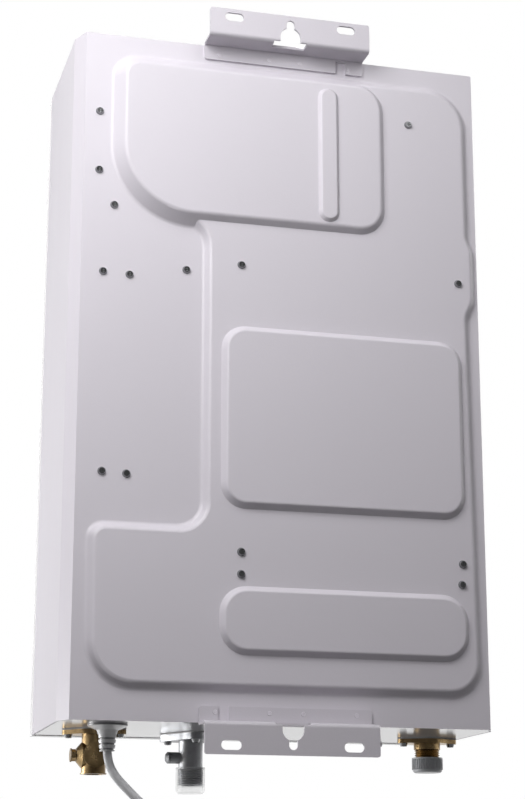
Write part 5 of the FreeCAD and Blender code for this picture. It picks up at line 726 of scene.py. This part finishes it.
class HEATER_OT_spot_welds(bpy.types.Operator):
    """Press the spot welds that hold the brackets' tabs"""

    bl_idname = "heater.spot_welds"
    bl_label = "Spot welds"

    def execute(self, context):
        weld = settings().weld
        face = CASE_BACK + TAB_STEEL - weld.sunk
        marks = []
        for across in WELD_ACROSS:
            for high in WELD_HIGH:
                deselect()
                bpy.ops.mesh.primitive_circle_add(
                    vertices=WELD_SIDES, radius=weld.radius, fill_type="NGON",
                    location=(across, face, high), rotation=(-math.pi / 2, 0, 0),
                )
                marks.append(context.object)
                bpy.ops.object.mode_set(mode="EDIT")
                bpy.ops.mesh.select_all(action="SELECT")
                rise = weld.height + weld.sunk
                bpy.ops.mesh.extrude_region_move(TRANSFORM_OT_translate={"value": (0, rise, 0)})
                bpy.ops.transform.resize(value=(WELD_CROWN, 1, WELD_CROWN))
                bpy.ops.mesh.inset(thickness=weld.radius * WELD_RING)
                bpy.ops.transform.translate(value=(0, -weld.height * WELD_DEPTH, 0))
                bpy.ops.mesh.inset(thickness=weld.radius * WELD_DISH)
                bpy.ops.transform.translate(value=(0, weld.height * WELD_NUB, 0))
                bpy.ops.mesh.select_all(action="SELECT")
                bpy.ops.mesh.normals_make_consistent(inside=False)
                bpy.ops.object.mode_set(mode="OBJECT")
        for mark in marks:
            mark.select_set(True)
        bpy.ops.object.join()
        bpy.ops.object.transform_apply(location=True, rotation=True, scale=True)
        bpy.ops.object.shade_smooth_by_angle(angle=SMOOTH_ANGLE)
        piece = context.object
        piece.name = "spot_welds"
        paint = settings().paint
        piece.data.materials.clear()
        piece.data.materials.append(
            powder_paint("weld_paint", rgba(paint.case, 1.02), paint.roughness)
        )
        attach(piece, "case")
        return {"FINISHED"}


class HEATER_OT_case_finish(bpy.types.Operator):
    """Paint the case, the brackets and the cover, and plate the screws"""

    bl_idname = "heater.case_finish"
    bl_label = "Case"

    def execute(self, context):
        paint = settings().paint
        metal = settings().metal
        dress(powder_paint("case_paint", paint.case, paint.roughness), "rear_shell", "top_panel")
        dress(
            powder_paint(
                "bracket_paint", rgba(paint.case, 0.92), paint.roughness + 0.05, 0.00005
            ),
            "top_bracket", "bottom_bracket",
        )
        dress(gloss_paint("underside_gloss", paint.base, 0.14), "bottom_panel")
        dress(gloss_paint("cover_gloss", paint.cover, 0.2), "front_cover")
        dress(plated_steel("screw_zinc", rgba(metal.zinc, 0.45), 0.2), "back_screws")
        dress(plated_steel("screw_dark", rgba(metal.zinc, 0.4), 0.2), "panel_screws")
        dress(plated_steel("flue_stainless", metal.stainless, 0.3), "flue_collar")
        return {"FINISHED"}


class HEATER_OT_fittings_finish(bpy.types.Operator):
    """Finish the brass, the castings, the caps and the gland under the case"""

    bl_idname = "heater.fittings_finish"
    bl_label = "Fittings"

    def execute(self, context):
        metal = settings().metal
        plastic = settings().plastic
        brass = cast_metal("fitting_brass", metal.brass, metal.brass_shade, 0.28)
        dress(brass, "cold_inlet_body", "hot_outlet_body", "drain_plug")
        grey = rgba(metal.die_cast, 0.55)
        dress(
            cast_metal("gas_casting", grey, rgba(grey, 0.7), 0.42), "gas_inlet_body",
            "gas_test_screw",
        )
        dress(clear_plastic("milky_cap", plastic.clear_cap), "gas_cap")
        dress(moulded_plastic("grey_cap", plastic.grey_cap, 0.36), "hot_cap")
        dress(gland_plastic("gland_plastic", plastic.gland, plastic.lead), "cord_gland")
        dress(moulded_plastic("plug_rubber", plastic.lead, 0.5), "plug")
        dress(moulded_plastic("tie_nylon", plastic.black, 0.45), "cord_tie")
        dress(moulded_plastic("flange_seal", plastic.seal, 0.7), "gaskets")
        return {"FINISHED"}


class HEATER_OT_inside_finish(bpy.types.Operator):
    """Finish the burner, heat exchanger, fan, pipes and controls"""

    bl_idname = "heater.inside_finish"
    bl_label = "Inside"

    def execute(self, context):
        metal = settings().metal
        plastic = settings().plastic
        copper = heat_tinted_copper("tinted_copper", metal.copper, 0.3)
        dress(
            copper, "exchanger_shell", "exchanger_fins", "exchanger_tubes", "cold_pipe",
            "hot_pipe", "gas_pipe",
        )
        dress(
            plated_steel("inner_zinc", metal.zinc, 0.36), "flue_hood", "fan_housing",
            "fan_impeller", "fan_brackets", "core_brackets",
        )
        dress(
            plated_steel("burner_stainless", metal.stainless, 0.34), "burner_frame",
            "burner_bars", "motor_shaft", "main_plunger", "modulator_plunger",
        )
        grey = rgba(metal.die_cast, 0.75)
        dress(
            cast_metal("valve_casting", metal.die_cast, grey, 0.5), "gas_valve_body",
            "gas_manifold",
        )
        dress(cast_metal("nozzle_brass", metal.brass, metal.brass_shade, 0.3), "gas_nozzles")
        dress(
            moulded_plastic("black_moulding", plastic.black, 0.45), "main_solenoid",
            "modulator_coil", "flow_sensor_body", "outlet_thermistor", "overheat_cutout",
            "spark_igniter", "pressure_switch", "fan_motor", "transformer",
        )
        dress(
            moulded_plastic("white_moulding", plastic.white, 0.35), "controller_box",
            "flow_rotor", "power_button", "up_button", "down_button", "electrodes",
        )
        dress(circuit_board("green_board", plastic.board), "control_board", "display_board")
        dress(smoked_window("display_smoke", plastic.window), "display_window")
        return {"FINISHED"}


class HEATER_PT_panel(bpy.types.Panel):
    """Lists the heater's steps"""

    bl_label = "Water Heater"
    bl_idname = "HEATER_PT_panel"
    bl_space_type = "VIEW_3D"
    bl_region_type = "UI"
    bl_category = "Water Heater"

    def draw(self, context):
        for step in STEPS:
            self.layout.operator(step.bl_idname)


STEPS = (
    HEATER_OT_stage, HEATER_OT_mains_lead, HEATER_OT_spot_welds, HEATER_OT_case_finish,
    HEATER_OT_fittings_finish, HEATER_OT_inside_finish,
)
CLASSES = (
    StageSettings, PaintSettings, MetalSettings, PlasticSettings, LeadSettings, WeldSettings,
    HeaterSettings, *STEPS, HEATER_PT_panel,
)


def register():
    for item in CLASSES:
        bpy.utils.register_class(item)
    bpy.types.Scene.water_heater = PointerProperty(type=HeaterSettings)


def unregister():
    del bpy.types.Scene.water_heater
    for item in reversed(CLASSES):
        bpy.utils.unregister_class(item)


def main():
    register()
    bpy.ops.heater.stage()
    bpy.ops.heater.mains_lead()
    bpy.ops.heater.spot_welds()
    bpy.ops.heater.case_finish()
    bpy.ops.heater.fittings_finish()
    bpy.ops.heater.inside_finish()


if __name__ == "__main__":
    main()
